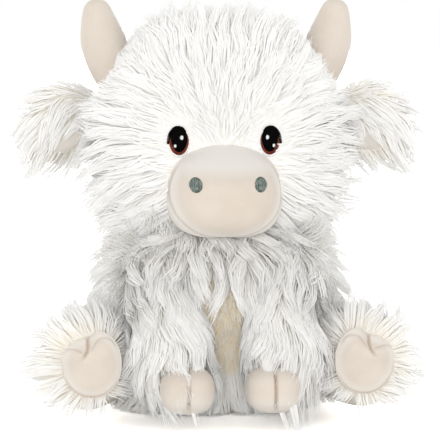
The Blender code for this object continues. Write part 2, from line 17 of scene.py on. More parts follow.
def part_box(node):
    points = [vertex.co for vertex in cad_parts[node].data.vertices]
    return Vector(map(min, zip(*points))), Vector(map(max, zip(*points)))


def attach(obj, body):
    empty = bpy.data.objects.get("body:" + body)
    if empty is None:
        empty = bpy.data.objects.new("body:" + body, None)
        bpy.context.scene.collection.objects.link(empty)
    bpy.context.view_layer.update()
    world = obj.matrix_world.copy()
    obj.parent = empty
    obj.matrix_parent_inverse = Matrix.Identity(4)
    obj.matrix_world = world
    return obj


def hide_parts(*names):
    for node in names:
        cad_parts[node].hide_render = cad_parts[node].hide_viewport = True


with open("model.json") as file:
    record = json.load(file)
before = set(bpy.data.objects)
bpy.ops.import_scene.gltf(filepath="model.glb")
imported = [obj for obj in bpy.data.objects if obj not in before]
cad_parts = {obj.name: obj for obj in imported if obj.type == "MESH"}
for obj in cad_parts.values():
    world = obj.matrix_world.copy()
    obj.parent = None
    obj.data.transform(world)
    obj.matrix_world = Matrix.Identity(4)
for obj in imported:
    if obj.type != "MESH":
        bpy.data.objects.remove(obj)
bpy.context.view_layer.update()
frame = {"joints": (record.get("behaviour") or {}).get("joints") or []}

# Studio
# A white sweep under soft, even light, as for a catalogue picture. A soft light comes from the front, four weaker ones
# fill from the sides and from behind, and the white room gives the rest. The floor keeps the contact shadow.
VIEW_AZIMUTH = math.radians(5.0)
VIEW_ELEVATION = math.radians(6.0)
VIEW_DISTANCE = 1.5
PICTURE_WIDTH = 0.2706
PICTURE_MIDDLE_RIGHT = 0.0018
PICTURE_MIDDLE_UP = 0.1156
FLOOR_SIZE = 12.0
FLOOR_WHITE = (3.0, 3.0, 3.0, 1.0)
FLOOR_BOUNCE = (0.94, 0.925, 0.90, 1.0)
ROOM_STRENGTH = 0.75
KEY_STRENGTH = 1.18
KEY_SPREAD = math.radians(20)
KEY_DIRECTION = Vector((0.10, 0.97, -0.13))
FILL_SPREAD = math.radians(50)
FILL_LIGHTS = {
    "left_fill_light": (Vector((0.80, 0.58, -0.05)), 0.48),
    "right_fill_light": (Vector((-0.80, 0.58, -0.05)), 0.48),
    "left_back_light": (Vector((0.75, -0.65, -0.15)), 1.0),
    "right_back_light": (Vector((-0.75, -0.65, -0.15)), 1.0),
}

picture_right = Vector((math.cos(VIEW_AZIMUTH), -math.sin(VIEW_AZIMUTH), 0))
view_direction = Vector((
    math.sin(VIEW_AZIMUTH) * math.cos(VIEW_ELEVATION),
    math.cos(VIEW_AZIMUTH) * math.cos(VIEW_ELEVATION),
    -math.sin(VIEW_ELEVATION),
))
picture_up = picture_right.cross(view_direction)
looked_at = picture_right * PICTURE_MIDDLE_RIGHT + picture_up * PICTURE_MIDDLE_UP

camera_data = bpy.data.cameras.new("camera")
camera_data.sensor_width = 36.0
camera_data.lens = camera_data.sensor_width * VIEW_DISTANCE / PICTURE_WIDTH
camera_data.clip_start = 0.05
camera = bpy.data.objects.new("camera", camera_data)
camera.location = looked_at - view_direction * VIEW_DISTANCE
camera.rotation_euler = view_direction.to_track_quat("-Z", "Y").to_euler()
bpy.context.scene.collection.objects.link(camera)
bpy.context.scene.camera = camera
bpy.context.scene.view_settings.view_transform = "Standard"


def soft_light(name, direction, spread, strength):
    """A wide, far-off studio light that shines along a direction."""
    lamp = bpy.data.lights.new(name, "SUN")
    lamp.angle = spread
    lamp.energy = strength
    holder = bpy.data.objects.new(name, lamp)
    holder.location = -direction
    holder.rotation_euler = direction.to_track_quat("-Z", "Y").to_euler()
    bpy.context.scene.collection.objects.link(holder)


soft_light("key_light", KEY_DIRECTION, KEY_SPREAD, KEY_STRENGTH)
for light_name, (fill_direction, fill_strength) in FILL_LIGHTS.items():
    soft_light(light_name, fill_direction, FILL_SPREAD, fill_strength)

room = bpy.data.worlds.new("white_room")
room.use_nodes = True
bpy.context.scene.world = room
room_nodes = room.node_tree.nodes
room_links = room.node_tree.links
room_nodes.clear()
room_out = room_nodes.new("ShaderNodeOutputWorld")
room_light = room_nodes.new("ShaderNodeBackground")
room_light.inputs["Strength"].default_value = ROOM_STRENGTH
room_seen = room_nodes.new("ShaderNodeBackground")
room_seen.inputs["Color"].default_value = (1, 1, 1, 1)
ray = room_nodes.new("ShaderNodeLightPath")
seen_or_mirrored = room_nodes.new("ShaderNodeMath")
seen_or_mirrored.operation = "MAXIMUM"
seen_at_all = room_nodes.new("ShaderNodeMath")
seen_at_all.operation = "MAXIMUM"
room_mix = room_nodes.new("ShaderNodeMixShader")
room_links.new(ray.outputs["Is Camera Ray"], seen_or_mirrored.inputs[0])
room_links.new(ray.outputs["Is Glossy Ray"], seen_or_mirrored.inputs[1])
room_links.new(seen_or_mirrored.outputs[0], seen_at_all.inputs[0])
room_links.new(ray.outputs["Is Transmission Ray"], seen_at_all.inputs[1])
room_links.new(seen_at_all.outputs[0], room_mix.inputs["Fac"])
room_links.new(room_light.outputs[0], room_mix.inputs[1])
room_links.new(room_seen.outputs[0], room_mix.inputs[2])
room_links.new(room_mix.outputs[0], room_out.inputs["Surface"])

floor_paper = bpy.data.materials.new("floor_paper")
floor_paper.use_nodes = True
floor_nodes = floor_paper.node_tree.nodes
floor_links = floor_paper.node_tree.links
floor_shader = floor_nodes["Principled BSDF"]
floor_shader.inputs["Roughness"].default_value = 0.9
floor_shader.inputs["Specular IOR Level"].default_value = 0.0
floor_ray = floor_nodes.new("ShaderNodeLightPath")
floor_mix = floor_nodes.new("ShaderNodeMix")
floor_mix.data_type = "RGBA"
floor_mix.clamp_result = False
floor_mix.inputs["A"].default_value = FLOOR_BOUNCE
floor_mix.inputs["B"].default_value = FLOOR_WHITE
floor_links.new(floor_ray.outputs["Is Camera Ray"], floor_mix.inputs["Factor"])
floor_links.new(floor_mix.outputs["Result"], floor_shader.inputs["Base Color"])

floor_mesh = bpy.data.meshes.new("floor")
half_floor = FLOOR_SIZE / 2
floor_corners = [(-half_floor, -half_floor, 0), (half_floor, -half_floor, 0)]
floor_corners += [(half_floor, half_floor, 0), (-half_floor, half_floor, 0)]
floor_mesh.from_pydata(floor_corners, [], [(0, 1, 2, 3)])
floor = bpy.data.objects.new("floor", floor_mesh)
floor_mesh.materials.append(floor_paper)
bpy.context.scene.collection.objects.link(floor)

# Head
# The head is a stuffed ball of long-pile fabric. The fabric itself lies a pile's thickness inside the outline that the
# pile draws, and comes up to it only at the face, where the pile is clipped short round the eyes and the muzzle.
HEAD_MIDDLE_HEIGHT = 0.174
HEAD_SQUARENESS = 2.7
HEAD_FALL = 0.070
HEAD_LOWER_SQUARENESS = 3.4
HEAD_FABRIC_DEPTH = 0.0075
NAPE_EXTRA_DEPTH = 0.0035
FACE_FABRIC_DEPTH = 0.0020
FACE_HEIGHT = 0.155
FACE_SIZE = 0.034
FACE_FADE = 0.026
# The backing's colours are painted shade of the pile, deep between the locks.
NEUTRAL_SHADE_BACKING = ((0.91, 0.905, 0.89, 1), (0.89, 0.875, 0.84, 1))

pivots = {joint["name"]: Vector(joint["pos_m"]) for joint in frame["joints"]}
sides = {"left": -1, "right": 1}


def new_piece(bm, name, material, smooth=True):
    """A named object at the origin from a finished bmesh, with its one material."""
    bmesh.ops.recalc_face_normals(bm, faces=bm.faces)
    mesh = bpy.data.meshes.new(name)
    bm.to_mesh(mesh)
    bm.free()
    mesh.materials.append(material)
    if smooth:
        mesh.shade_smooth()
    piece = bpy.data.objects.new(name, mesh)
    bpy.context.scene.collection.objects.link(piece)
    return piece


def stuffed_ball(middle, half_width, half_depth, rise, fall, squareness, around=56, upward=36, lower=None):
    """A ball of unlike half sizes, rounder or squarer, as a bmesh. Its lower half may be squarer than the upper."""
    bm = bmesh.new()
    bmesh.ops.create_uvsphere(bm, u_segments=around, v_segments=upward, radius=1.0)
    for vert in bm.verts:
        flat = vert.co.normalized()
        power = squareness + ((lower or squareness) - squareness) * smooth_step(-flat.z, -0.2, 0.5)
        point = flat * sum(abs(part) ** power for part in flat) ** (-1 / power)
        tall = rise if point.z > 0 else fall
        vert.co = middle + Vector((point.x * half_width, point.y * half_depth, point.z * tall))
    return bm


def smooth_step(value, low, high):
    """0 below low, 1 above high, and a soft change between them."""
    part = min(max((value - low) / (high - low), 0.0), 1.0)
    return part * part * (3 - 2 * part)


def fabric_backing(name, colours):
    """The knitted back of the pile fabric, seen only deep between the locks, coloured as the pile's shade there:
    painted shade.
    """
    material = bpy.data.materials.new(name)
    material.use_nodes = True
    nodes = material.node_tree.nodes
    links = material.node_tree.links
    shader = nodes["Principled BSDF"]
    shader.inputs["Roughness"].default_value = 0.95
    shader.inputs["Specular IOR Level"].default_value = 0.1
    place = nodes.new("ShaderNodeTexCoord")
    tufts = nodes.new("ShaderNodeTexVoronoi")
    tufts.inputs["Scale"].default_value = 420.0
    colour = nodes.new("ShaderNodeValToRGB")
    colour.color_ramp.elements[0].color = colours[0]
    colour.color_ramp.elements[1].color = colours[1]
    bump = nodes.new("ShaderNodeBump")
    bump.inputs["Strength"].default_value = 0.6
    bump.inputs["Distance"].default_value = 0.0006
    links.new(place.outputs["Object"], tufts.inputs["Vector"])
    links.new(tufts.outputs["Distance"], colour.inputs["Fac"])
    links.new(colour.outputs["Color"], shader.inputs["Base Color"])
    links.new(tufts.outputs["Distance"], bump.inputs["Height"])
    links.new(bump.outputs["Normal"], shader.inputs["Normal"])
    return material


neutral_shade_backing = fabric_backing("neutral_shade_backing", NEUTRAL_SHADE_BACKING)
head_low, head_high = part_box("head")
head_middle = Vector((0, (head_low.y + head_high.y) / 2, HEAD_MIDDLE_HEIGHT))
head_bm = stuffed_ball(
    head_middle, head_high.x, (head_high.y - head_low.y) / 2, head_high.z - HEAD_MIDDLE_HEIGHT, HEAD_FALL,
    HEAD_SQUARENESS, lower=HEAD_LOWER_SQUARENESS,
)
head_bm.normal_update()
head_inset = []
for vert in head_bm.verts:
    from_face = math.hypot(vert.co.x, vert.co.z - FACE_HEIGHT)
    hidden = smooth_step(from_face, FACE_SIZE, FACE_SIZE + FACE_FADE)
    if vert.co.y > head_middle.y:
        hidden = 1.0
    full_depth = HEAD_FABRIC_DEPTH + smooth_step(vert.co.y, 0.0, 0.03) * NAPE_EXTRA_DEPTH
    depth = FACE_FABRIC_DEPTH + hidden * (full_depth - FACE_FABRIC_DEPTH)
    head_inset.append(vert.co - vert.normal * depth)
for vert, inset in zip(head_bm.verts, head_inset):
    vert.co = inset
head_skin = new_piece(head_bm, "head_skin", neutral_shade_backing)
head_tree = BVHTree.FromObject(head_skin, bpy.context.evaluated_depsgraph_get())
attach(head_skin, "head")
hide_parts("head")

# Long pile
# Cream-white polyester pile, 30 to 40 mm long, in pointed locks of several strands. Each strand grows from the fabric
# along its nap, leans towards the middle of its lock, waves a little and hangs. The roots are darker and creamier than
# the
# tips: painted shade deep in the pile, warmer everywhere but on the head.
STRAND_POINTS = 5
STRAND_SIDES = 3
STRAND_HALF_WIDTH = 0.00050
STRAND_FLATNESS = 0.30
STRAND_ROLL = 0.3
STRAND_TURN = (0, -0.9, 0)
BACK_STRAND_TURN = -2.0
STRANDS_PER_SQUARE_METRE = 450000
LOCK_SPACING = 0.0058
TOUSLES_PER_METRE = 42.0
TOUSLE = 0.45
# Root, middle and tip colours. The darker roots are painted shade, warmer in the copy for the body, legs, ears and
# tail.
NEUTRAL_SHADED_PILE = ((0.955, 0.945, 0.92, 1), (0.98, 0.98, 0.972, 1), (0.988, 0.988, 0.985, 1))
WARM_SHADED_PILE = ((0.98, 0.94, 0.85, 1), (0.995, 0.985, 0.96, 1), (0.998, 0.997, 0.993, 1))
CREAM_STRANDS = (0.99, 0.98, 0.955, 1)
WHITE_STRANDS = (1.0, 1.0, 1.0, 1)


def long_pile_fibre(name, colours):
    """Fibre that darkens towards the root as painted shade in the pile, with creamier strands among the white ones."""
    material = bpy.data.materials.new(name)
    material.use_nodes = True
    nodes = material.node_tree.nodes
    links = material.node_tree.links
    shader = nodes["Principled BSDF"]
    shader.inputs["Roughness"].default_value = 0.6
    shader.inputs["Specular IOR Level"].default_value = 0.3
    shader.inputs["Sheen Weight"].default_value = 0.9
    shader.inputs["Sheen Roughness"].default_value = 0.5
    chart = nodes.new("ShaderNodeUVMap")
    chart.uv_map = "OFBake"
    parts = nodes.new("ShaderNodeSeparateXYZ")
    # Painted shade: the colour darkens from tip to root.
    along = nodes.new("ShaderNodeValToRGB")
    along.color_ramp.elements[0].position = 0.05
    along.color_ramp.elements[0].color = colours[0]
    along.color_ramp.elements[1].position = 0.9
    along.color_ramp.elements[1].color = colours[2]
    middle = along.color_ramp.elements.new(0.38)
    middle.color = colours[1]
    chance = nodes.new("ShaderNodeTexNoise")
    chance.noise_dimensions = "1D"
    chance.inputs["Scale"].default_value = 60.0
    chance.inputs["Detail"].default_value = 1.0
    tint = nodes.new("ShaderNodeValToRGB")
    tint.color_ramp.elements[0].position = 0.35
    tint.color_ramp.elements[0].color = CREAM_STRANDS
    tint.color_ramp.elements[1].position = 0.6
    tint.color_ramp.elements[1].color = WHITE_STRANDS
    dyed = nodes.new("ShaderNodeMix")
    dyed.data_type = "RGBA"
    dyed.blend_type = "MULTIPLY"
    dyed.inputs["Factor"].default_value = 1.0
    links.new(chart.outputs["UV"], parts.inputs["Vector"])
    links.new(parts.outputs["Y"], along.inputs["Fac"])
    links.new(parts.outputs["X"], chance.inputs["W"])
    links.new(chance.outputs["Fac"], tint.inputs["Fac"])
    links.new(along.outputs["Color"], dyed.inputs["A"])
    links.new(tint.outputs["Color"], dyed.inputs["B"])
    links.new(dyed.outputs["Result"], shader.inputs["Base Color"])
    return material


class Workings:
    """Builds one node tree: each method adds a node and gives its output."""

    def __init__(self, name):
        self.tree = bpy.data.node_groups.new(name, "GeometryNodeTree")
        self.tree.interface.new_socket("Geometry", in_out="OUTPUT", socket_type="NodeSocketGeometry")
        self.entry = self.tree.nodes.new("NodeGroupInput")
        self.names = {}

    def asks(self, name, socket_type, value=None):
        """A named input of the tree."""
        socket = self.tree.interface.new_socket(name, in_out="INPUT", socket_type=socket_type)
        if value is not None:
            socket.default_value = value
        self.names[name] = socket.identifier
        return self.entry.outputs[name]

    def feed(self, socket, value):
        """Gives a socket a link or a plain value."""
        if isinstance(value, bpy.types.NodeSocket):
            self.tree.links.new(value, socket)
        else:
            socket.default_value = value

    def node(self, kind, inputs=None, output=0, **settings):
        """Any node, with its settings and its inputs by name or place."""
        node = self.tree.nodes.new(kind)
        for name, value in settings.items():
            setattr(node, name, value)
        for key, value in (inputs or {}).items():
            self.feed(node.inputs[key], value)
        return node.outputs[output]

    def number(self, operation, *terms):
        """Arithmetic on numbers."""
        return self.node("ShaderNodeMath", dict(enumerate(terms)), operation=operation)

    def arrow(self, operation, *terms):
        """Arithmetic on vectors."""
        return self.node("ShaderNodeVectorMath", dict(enumerate(terms)), operation=operation)

    def times(self, vector, factor):
        """A vector made longer or shorter."""
        return self.node("ShaderNodeVectorMath", {0: vector, "Scale": factor}, operation="SCALE")

    def reads(self, name, data_type="FLOAT"):
        """A named attribute of what passes."""
        return self.node("GeometryNodeInputNamedAttribute", {"Name": name}, data_type=data_type)

    def stores(self, geometry, name, value, data_type="FLOAT", domain="POINT"):
        """Writes a named attribute on what passes."""
        inputs = {"Geometry": geometry, "Name": name, "Value": value}
        return self.node("GeometryNodeStoreNamedAttribute", inputs, data_type=data_type, domain=domain)

    def chance(self, seed):
        """Three random numbers from 0 to 1 for each point."""
        return self.node("FunctionNodeRandomValue", {"Seed": seed}, data_type="FLOAT_VECTOR")

    def ends(self, geometry, material):
        """Makes instances real, gives them the material and passes them out."""
        real = self.node("GeometryNodeRealizeInstances", {"Geometry": geometry})
        painted = self.node("GeometryNodeSetMaterial", {"Geometry": real, "Material": material})
        leave = self.tree.nodes.new("NodeGroupOutput")
        self.tree.links.new(painted, leave.inputs["Geometry"])


def pile_tree():
    """Strands on a skin whose points carry comb, the lie of the nap, and pile, the strand length."""
    work = Workings("long_pile")
    skin = work.asks("Geometry", "NodeSocketGeometry")
    density = work.asks("Strands per Square Metre", "NodeSocketFloat", STRANDS_PER_SQUARE_METRE)
    spacing = work.asks("Lock Spacing", "NodeSocketFloat", LOCK_SPACING)
    half_width = work.asks("Strand Half Width", "NodeSocketFloat", STRAND_HALF_WIDTH)
    stand = work.asks("Root Stand", "NodeSocketFloat", 0.45)
    rise = work.asks("Tip Rise", "NodeSocketFloat", 0.14)
    droop = work.asks("Droop", "NodeSocketFloat", 0.22)
    pull = work.asks("Lock Pull", "NodeSocketFloat", 0.72)
    wave = work.asks("Wave", "NodeSocketFloat", 0.06)
    stray = work.asks("Stray", "NodeSocketFloat", 0.22)
    lock_stray = work.asks("Lock Stray", "NodeSocketFloat", 0.55)
    lowest = work.asks("Lowest Height", "NodeSocketFloat", 0.0008)
    seed = work.asks("Seed", "NodeSocketInt", 1)
    fibre = work.asks("Fibre", "NodeSocketMaterial")

    covered = work.node("FunctionNodeCompare", {0: work.reads("pile"), 1: 0.001}, operation="GREATER_THAN")
    lock_spread = work.tree.nodes.new("GeometryNodeDistributePointsOnFaces")
    lock_spread.distribute_method = "POISSON"
    lock_density = work.number("DIVIDE", 1.4, work.number("MULTIPLY", spacing, spacing))
    for key, value in {"Mesh": skin, "Selection": covered, "Distance Min": spacing, "Seed": seed}.items():
        work.feed(lock_spread.inputs[key], value)
    work.feed(lock_spread.inputs["Density Max"], lock_density)
    locks = work.stores(lock_spread.outputs["Points"], "out", lock_spread.outputs["Normal"], "FLOAT_VECTOR")

    strand_spread = work.tree.nodes.new("GeometryNodeDistributePointsOnFaces")
    strand_seed = work.number("ADD", seed, 11)
    for key, value in {"Mesh": skin, "Selection": covered, "Density": density, "Seed": strand_seed}.items():
        work.feed(strand_spread.inputs[key], value)
    position = work.node("GeometryNodeInputPosition")
    points = work.stores(strand_spread.outputs["Points"], "out", strand_spread.outputs["Normal"], "FLOAT_VECTOR")
    points = work.stores(points, "root", position, "FLOAT_VECTOR")
    points = work.stores(points, "chance", work.chance(3), "FLOAT_VECTOR")
    nearest = work.node("GeometryNodeSampleNearest", {"Geometry": locks, "Sample Position": position}, domain="POINT")
    lock_values = {
        "lock_root": (position, "FLOAT_VECTOR"),
        "lock_out": (work.reads("out", "FLOAT_VECTOR"), "FLOAT_VECTOR"),
        "lock_comb": (work.reads("comb", "FLOAT_VECTOR"), "FLOAT_VECTOR"),
        "lock_pile": (work.reads("pile"), "FLOAT"),
        "lock_chance": (work.chance(5), "FLOAT_VECTOR"),
    }
    for name, (value, data_type) in lock_values.items():
        inputs = {"Geometry": locks, "Value": value, "Index": nearest}
        sampled = work.node("GeometryNodeSampleIndex", inputs, data_type=data_type, domain="POINT")
        points = work.stores(points, name, sampled, data_type)

    line = work.node("GeometryNodeCurvePrimitiveLine")
    line = work.node("GeometryNodeResampleCurve", {"Curve": line, "Count": STRAND_POINTS})
    lines = work.node("GeometryNodeInstanceOnPoints", {"Points": points, "Instance": line})
    lines = work.node("GeometryNodeRealizeInstances", {"Geometry": lines})
    lines = work.stores(lines, "along", work.node("GeometryNodeSplineParameter"))

    along = work.reads("along")
    squared = work.number("MULTIPLY", along, along)
    bent_part = work.number("MULTIPLY", squared, 0.5)
    straight_part = work.number("SUBTRACT", along, bent_part)
    hang = work.node("ShaderNodeCombineXYZ", {"Z": work.number("MULTIPLY", droop, -1.0)})

    def strand_path(root, out, comb, length, chance, straying):
        """Where a point of the strand lies: it leaves the fabric steeply and bends over along the nap."""
        start = work.arrow("NORMALIZE", work.arrow("ADD", work.times(out, stand), comb))
        off_line = work.times(work.arrow("SUBTRACT", chance, (0.5, 0.5, 0.5)), straying)
        finish = work.arrow("ADD", work.times(out, rise), work.times(comb, 1.3))
        finish = work.arrow("ADD", finish, work.arrow("ADD", hang, off_line))
        finish = work.arrow("NORMALIZE", finish)
        path = work.arrow("ADD", work.times(start, straight_part), work.times(finish, bent_part))
        return work.arrow("ADD", root, work.times(path, length))

    chance = work.reads("chance", "FLOAT_VECTOR")
    chances = work.tree.nodes.new("ShaderNodeSeparateXYZ")
    work.feed(chances.inputs[0], chance)
    lock_chance = work.reads("lock_chance", "FLOAT_VECTOR")
    lock_chances = work.tree.nodes.new("ShaderNodeSeparateXYZ")
    work.feed(lock_chances.inputs[0], lock_chance)
    length = work.number("MULTIPLY", work.reads("pile"), work.number("MULTIPLY_ADD", chances.outputs["X"], 0.4, 0.7))
    lock_longer = work.number("MULTIPLY_ADD", lock_chances.outputs["X"], 0.5, 0.7)
    lock_length = work.number("MULTIPLY", work.reads("lock_pile"), lock_longer)
    own = strand_path(
        work.reads("root", "FLOAT_VECTOR"), work.reads("out", "FLOAT_VECTOR"), work.reads("comb", "FLOAT_VECTOR"),
        length, chance, stray,
    )
    lock_out = work.reads("lock_out", "FLOAT_VECTOR")
    lock_comb = work.reads("lock_comb", "FLOAT_VECTOR")
    shared = strand_path(
        work.reads("lock_root", "FLOAT_VECTOR"), lock_out, lock_comb, lock_length, lock_chance, lock_stray
    )
    hold = work.number("MULTIPLY_ADD", chances.outputs["Y"], 0.5, 0.5)
    loose = work.node("FunctionNodeCompare", {0: chances.outputs["Z"], 1: 0.93}, operation="LESS_THAN")
    hold = work.number("MULTIPLY", work.number("MULTIPLY", hold, pull), loose)
    hold = work.number("MULTIPLY", hold, work.number("POWER", along, 1.2))
    place = work.node("ShaderNodeMix", {"Factor": hold, "A": own, "B": shared}, 1, data_type="VECTOR")
    turn = work.number("MULTIPLY_ADD", along, 5.5, work.number("MULTIPLY", lock_chances.outputs["Y"], 6.28))
    sway = work.number("MULTIPLY", work.number("SINE", turn), work.number("MULTIPLY", wave, along))
    sway = work.number("MULTIPLY", sway, length)
    sideways = work.arrow("CROSS_PRODUCT", lock_out, lock_comb)
    place = work.arrow("ADD", place, work.times(sideways, sway))
    heights = work.tree.nodes.new("ShaderNodeSeparateXYZ")
    work.feed(heights.inputs[0], place)
    above = work.number("MULTIPLY_ADD", chances.outputs["Y"], 0.0025, lowest)
    kept_height = work.number("MAXIMUM", heights.outputs["Z"], above)
    place = work.node(
        "ShaderNodeCombineXYZ", {"X": heights.outputs["X"], "Y": heights.outputs["Y"], "Z": kept_height}
    )
    strands = work.node("GeometryNodeSetPosition", {"Geometry": lines, "Position": place})

    tangent = work.node("GeometryNodeInputTangent")
    out_parts = work.tree.nodes.new("ShaderNodeSeparateXYZ")
    work.feed(out_parts.inputs[0], lock_out)
    behind = work.number("MAXIMUM", out_parts.outputs["Y"], 0.0)
    turn_share = work.number("MULTIPLY_ADD", behind, BACK_STRAND_TURN, 1.0)
    faced = work.arrow("ADD", lock_out, work.times(STRAND_TURN, turn_share))
    flank = work.arrow("NORMALIZE", work.arrow("CROSS_PRODUCT", tangent, faced))
    roll = work.number("MULTIPLY", work.number("SUBTRACT", chances.outputs["X"], 0.5), STRAND_ROLL)
    facing = work.arrow("ADD", work.arrow("CROSS_PRODUCT", flank, tangent), work.times(flank, roll))
    strands = work.node(
        "GeometryNodeSetCurveNormal", {"Curve": strands, "Normal": work.arrow("NORMALIZE", facing)}, mode="FREE"
    )
    profile = work.node("GeometryNodeCurvePrimitiveCircle", {"Resolution": STRAND_SIDES, "Radius": 1.0})
    flat_side_out = {"Geometry": profile, "Rotation": (0, 0, math.pi), "Scale": (STRAND_FLATNESS, 1, 1)}
    profile = work.node("GeometryNodeTransform", flat_side_out)
    profile = work.stores(profile, "around", work.node("GeometryNodeSplineParameter"))
    taper = work.number("MULTIPLY_ADD", work.number("POWER", along, 1.6), -0.84, 1.0)
    thickness = work.number("MULTIPLY", half_width, work.number("MULTIPLY_ADD", chances.outputs["Y"], 0.5, 0.75))
    inputs = {
        "Curve": strands, "Profile Curve": profile, "Scale": work.number("MULTIPLY", taper, thickness),
        "Fill Caps": True,
    }
    hair = work.node("GeometryNodeCurveToMesh", inputs)
    chart_across = work.number("MULTIPLY_ADD", work.reads("around"), 0.004, 0.005)
    chart_across = work.number("MULTIPLY_ADD", chances.outputs["X"], 0.98, chart_across)
    chart_along = work.number("MULTIPLY_ADD", along, 0.96, 0.02)
    chart = work.node("ShaderNodeCombineXYZ", {"X": chart_across, "Y": chart_along})
    hair = work.stores(hair, "OFBake", chart, "FLOAT2", "CORNER")
    work.ends(hair, fibre)
    return work


long_pile = pile_tree()
neutral_shaded_fibre = long_pile_fibre("neutral_shaded_pile_fibre", NEUTRAL_SHADED_PILE)
warm_shaded_fibre = long_pile_fibre("warm_shaded_pile_fibre", WARM_SHADED_PILE)


def along_skin(vectors, normals):
    """The parts of some vectors that lie along a surface, all made one long."""
    flat = vectors - normals * np.sum(vectors * normals, axis=1, keepdims=True)
    return flat / np.maximum(np.linalg.norm(flat, axis=1, keepdims=True), 1e-6)


def points_and_normals(skin):
    """The points of a skin and how it faces there, as arrays."""
    count = len(skin.data.vertices)
    points = np.empty(count * 3)
    normals = np.empty(count * 3)
    skin.data.vertices.foreach_get("co", points)
    skin.data.vertices.foreach_get("normal", normals)
    return points.reshape(-1, 3), normals.reshape(-1, 3)


def soft_range(values, low, high):
    """0 below low, 1 above high, and a soft change between them, for an array."""
    part = np.clip((values - low) / (high - low), 0, 1)
    return part * part * (3 - 2 * part)


def tousle(points, normals):
    """Small turns of the nap from place to place along a skin, a few locks wide."""
    turns = np.array([noise.noise_vector(Vector(point) * TOUSLES_PER_METRE) for point in points])
    return TOUSLE * (turns - normals * np.sum(turns * normals, axis=1, keepdims=True))


def store_on(skin, name, values, data_type):
    """Writes an array on the points of a skin."""
    attribute = skin.data.attributes.get(name) or skin.data.attributes.new(name, data_type, "POINT")
    key = "vector" if data_type == "FLOAT_VECTOR" else "value"
    attribute.data.foreach_set(key, np.ascontiguousarray(values, dtype=np.float32).ravel())


def grow(work, skin, name, material, **settings):
    """Runs a growing tree on a skin and keeps what grew as a piece of its own."""
    bed = skin.copy()
    bed.data = skin.data.copy()
    bed.parent = None
    bpy.context.scene.collection.objects.link(bed)
    modifier = bed.modifiers.new("growth", "NODES")
    modifier.node_group = work.tree
    modifier[work.names["Fibre"]] = material
    for key, value in settings.items():
        modifier[work.names[key.replace("_", " ").title().replace(" Per ", " per ")]] = value
    graph = bpy.context.evaluated_depsgraph_get()
    mesh = bpy.data.meshes.new_from_object(bed.evaluated_get(graph), depsgraph=graph)
    bpy.data.objects.remove(bed)
    mesh.name = name
    kept = {"OFBake", "position", "material_index", "sharp_face"}
    for attribute_name in [attribute.name for attribute in mesh.attributes]:
        if attribute_name not in kept and not attribute_name.startswith("."):
            mesh.attributes.remove(mesh.attributes[attribute_name])
    mesh.shade_flat()
    piece = bpy.data.objects.new(name, mesh)
    bpy.context.scene.collection.objects.link(piece)
    return piece


# Head pile
# On the face the nap runs outwards from between the eyes on all sides, up over the forehead and the horns, and behind
# it falls down the nape. It is short beside the muzzle and the eyes and longest on the crown and the cheeks.
NAP_MIDDLE_HEIGHT = 0.157
SHORT_PILE_LENGTH = 0.013
HEAD_PILE_LENGTH = 0.036
MUZZLE_CLEAR_WIDTH = 0.0325
MUZZLE_CLEAR_HEIGHT = 0.0260
MUZZLE_CLEAR_MIDDLE = 0.139
EYE_CLEAR_WIDTH = 0.0086
EYE_CLEAR_HEIGHT = 0.0108
SHORTEST_PILE = 0.003
CROWN_SHORTENING = 0.22
JOWL_LENGTHENING = 0.20
HORN_ROOT = (0.066, 0.214)
HORN_ROOT_CLEAR = 0.012
HORN_PILE_SHARE = 0.30
HORN_PILE_FADE = 0.030

eye_boxes = {side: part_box(f"eye_{side}") for side in sides}
head_points, head_normals = points_and_normals(head_skin)
nap_middle = np.array([0, head_low.y - 0.01, NAP_MIDDLE_HEIGHT])
head_nap = along_skin(head_points - nap_middle, head_normals)
behind = soft_range(head_points[:, 1], -0.005, 0.035)
head_nap = along_skin(head_nap + behind[:, None] * np.array([0, 0, -1.6]), head_normals)
from_nose = np.hypot(head_points[:, 0], head_points[:, 2] - NAP_MIDDLE_HEIGHT)
lengthening = np.maximum(soft_range(from_nose, 0.028, 0.062), behind)
head_pile = SHORT_PILE_LENGTH + lengthening * (HEAD_PILE_LENGTH - SHORT_PILE_LENGTH)
in_front = head_points[:, 1] < head_middle.y
head_pile *= 1 - CROWN_SHORTENING * soft_range(head_points[:, 2], 0.200, 0.232)
from_horn = np.hypot(np.abs(head_points[:, 0]) - HORN_ROOT[0], head_points[:, 2] - HORN_ROOT[1])
horn_part = soft_range(from_horn, HORN_ROOT_CLEAR, HORN_ROOT_CLEAR + HORN_PILE_FADE)
head_pile *= HORN_PILE_SHARE + (1 - HORN_PILE_SHARE) * horn_part
muzzle_reach = np.hypot(
    head_points[:, 0] / MUZZLE_CLEAR_WIDTH, (head_points[:, 2] - MUZZLE_CLEAR_MIDDLE) / MUZZLE_CLEAR_HEIGHT
)
head_pile[(muzzle_reach < 1) & in_front] = 0
head_pile *= 1 + JOWL_LENGTHENING * soft_range(-head_points[:, 2], -0.145, -0.120) * soft_range(from_nose, 0.04, 0.06)
away_from_nose = (head_points - nap_middle)[:, [0, 2]]
away_from_nose /= np.linalg.norm(away_from_nose, axis=1, keepdims=True)
for low, high in eye_boxes.values():
    middle = (low + high) / 2
    to_eye = np.array([middle.x, middle.z]) - head_points[:, [0, 2]]
    eye_reach = np.hypot(to_eye[:, 0] / EYE_CLEAR_WIDTH, to_eye[:, 1] / EYE_CLEAR_HEIGHT)
    head_pile[(eye_reach < 1) & in_front] = 0
    ahead = np.sum(to_eye * away_from_nose, axis=1)
    beside = np.linalg.norm(to_eye - ahead[:, None] * away_from_nose, axis=1)
    aimed = (ahead > 0) & (beside < EYE_CLEAR_HEIGHT) & in_front
    head_pile[aimed] = np.minimum(head_pile, np.maximum(ahead - EYE_CLEAR_WIDTH, SHORTEST_PILE))[aimed]
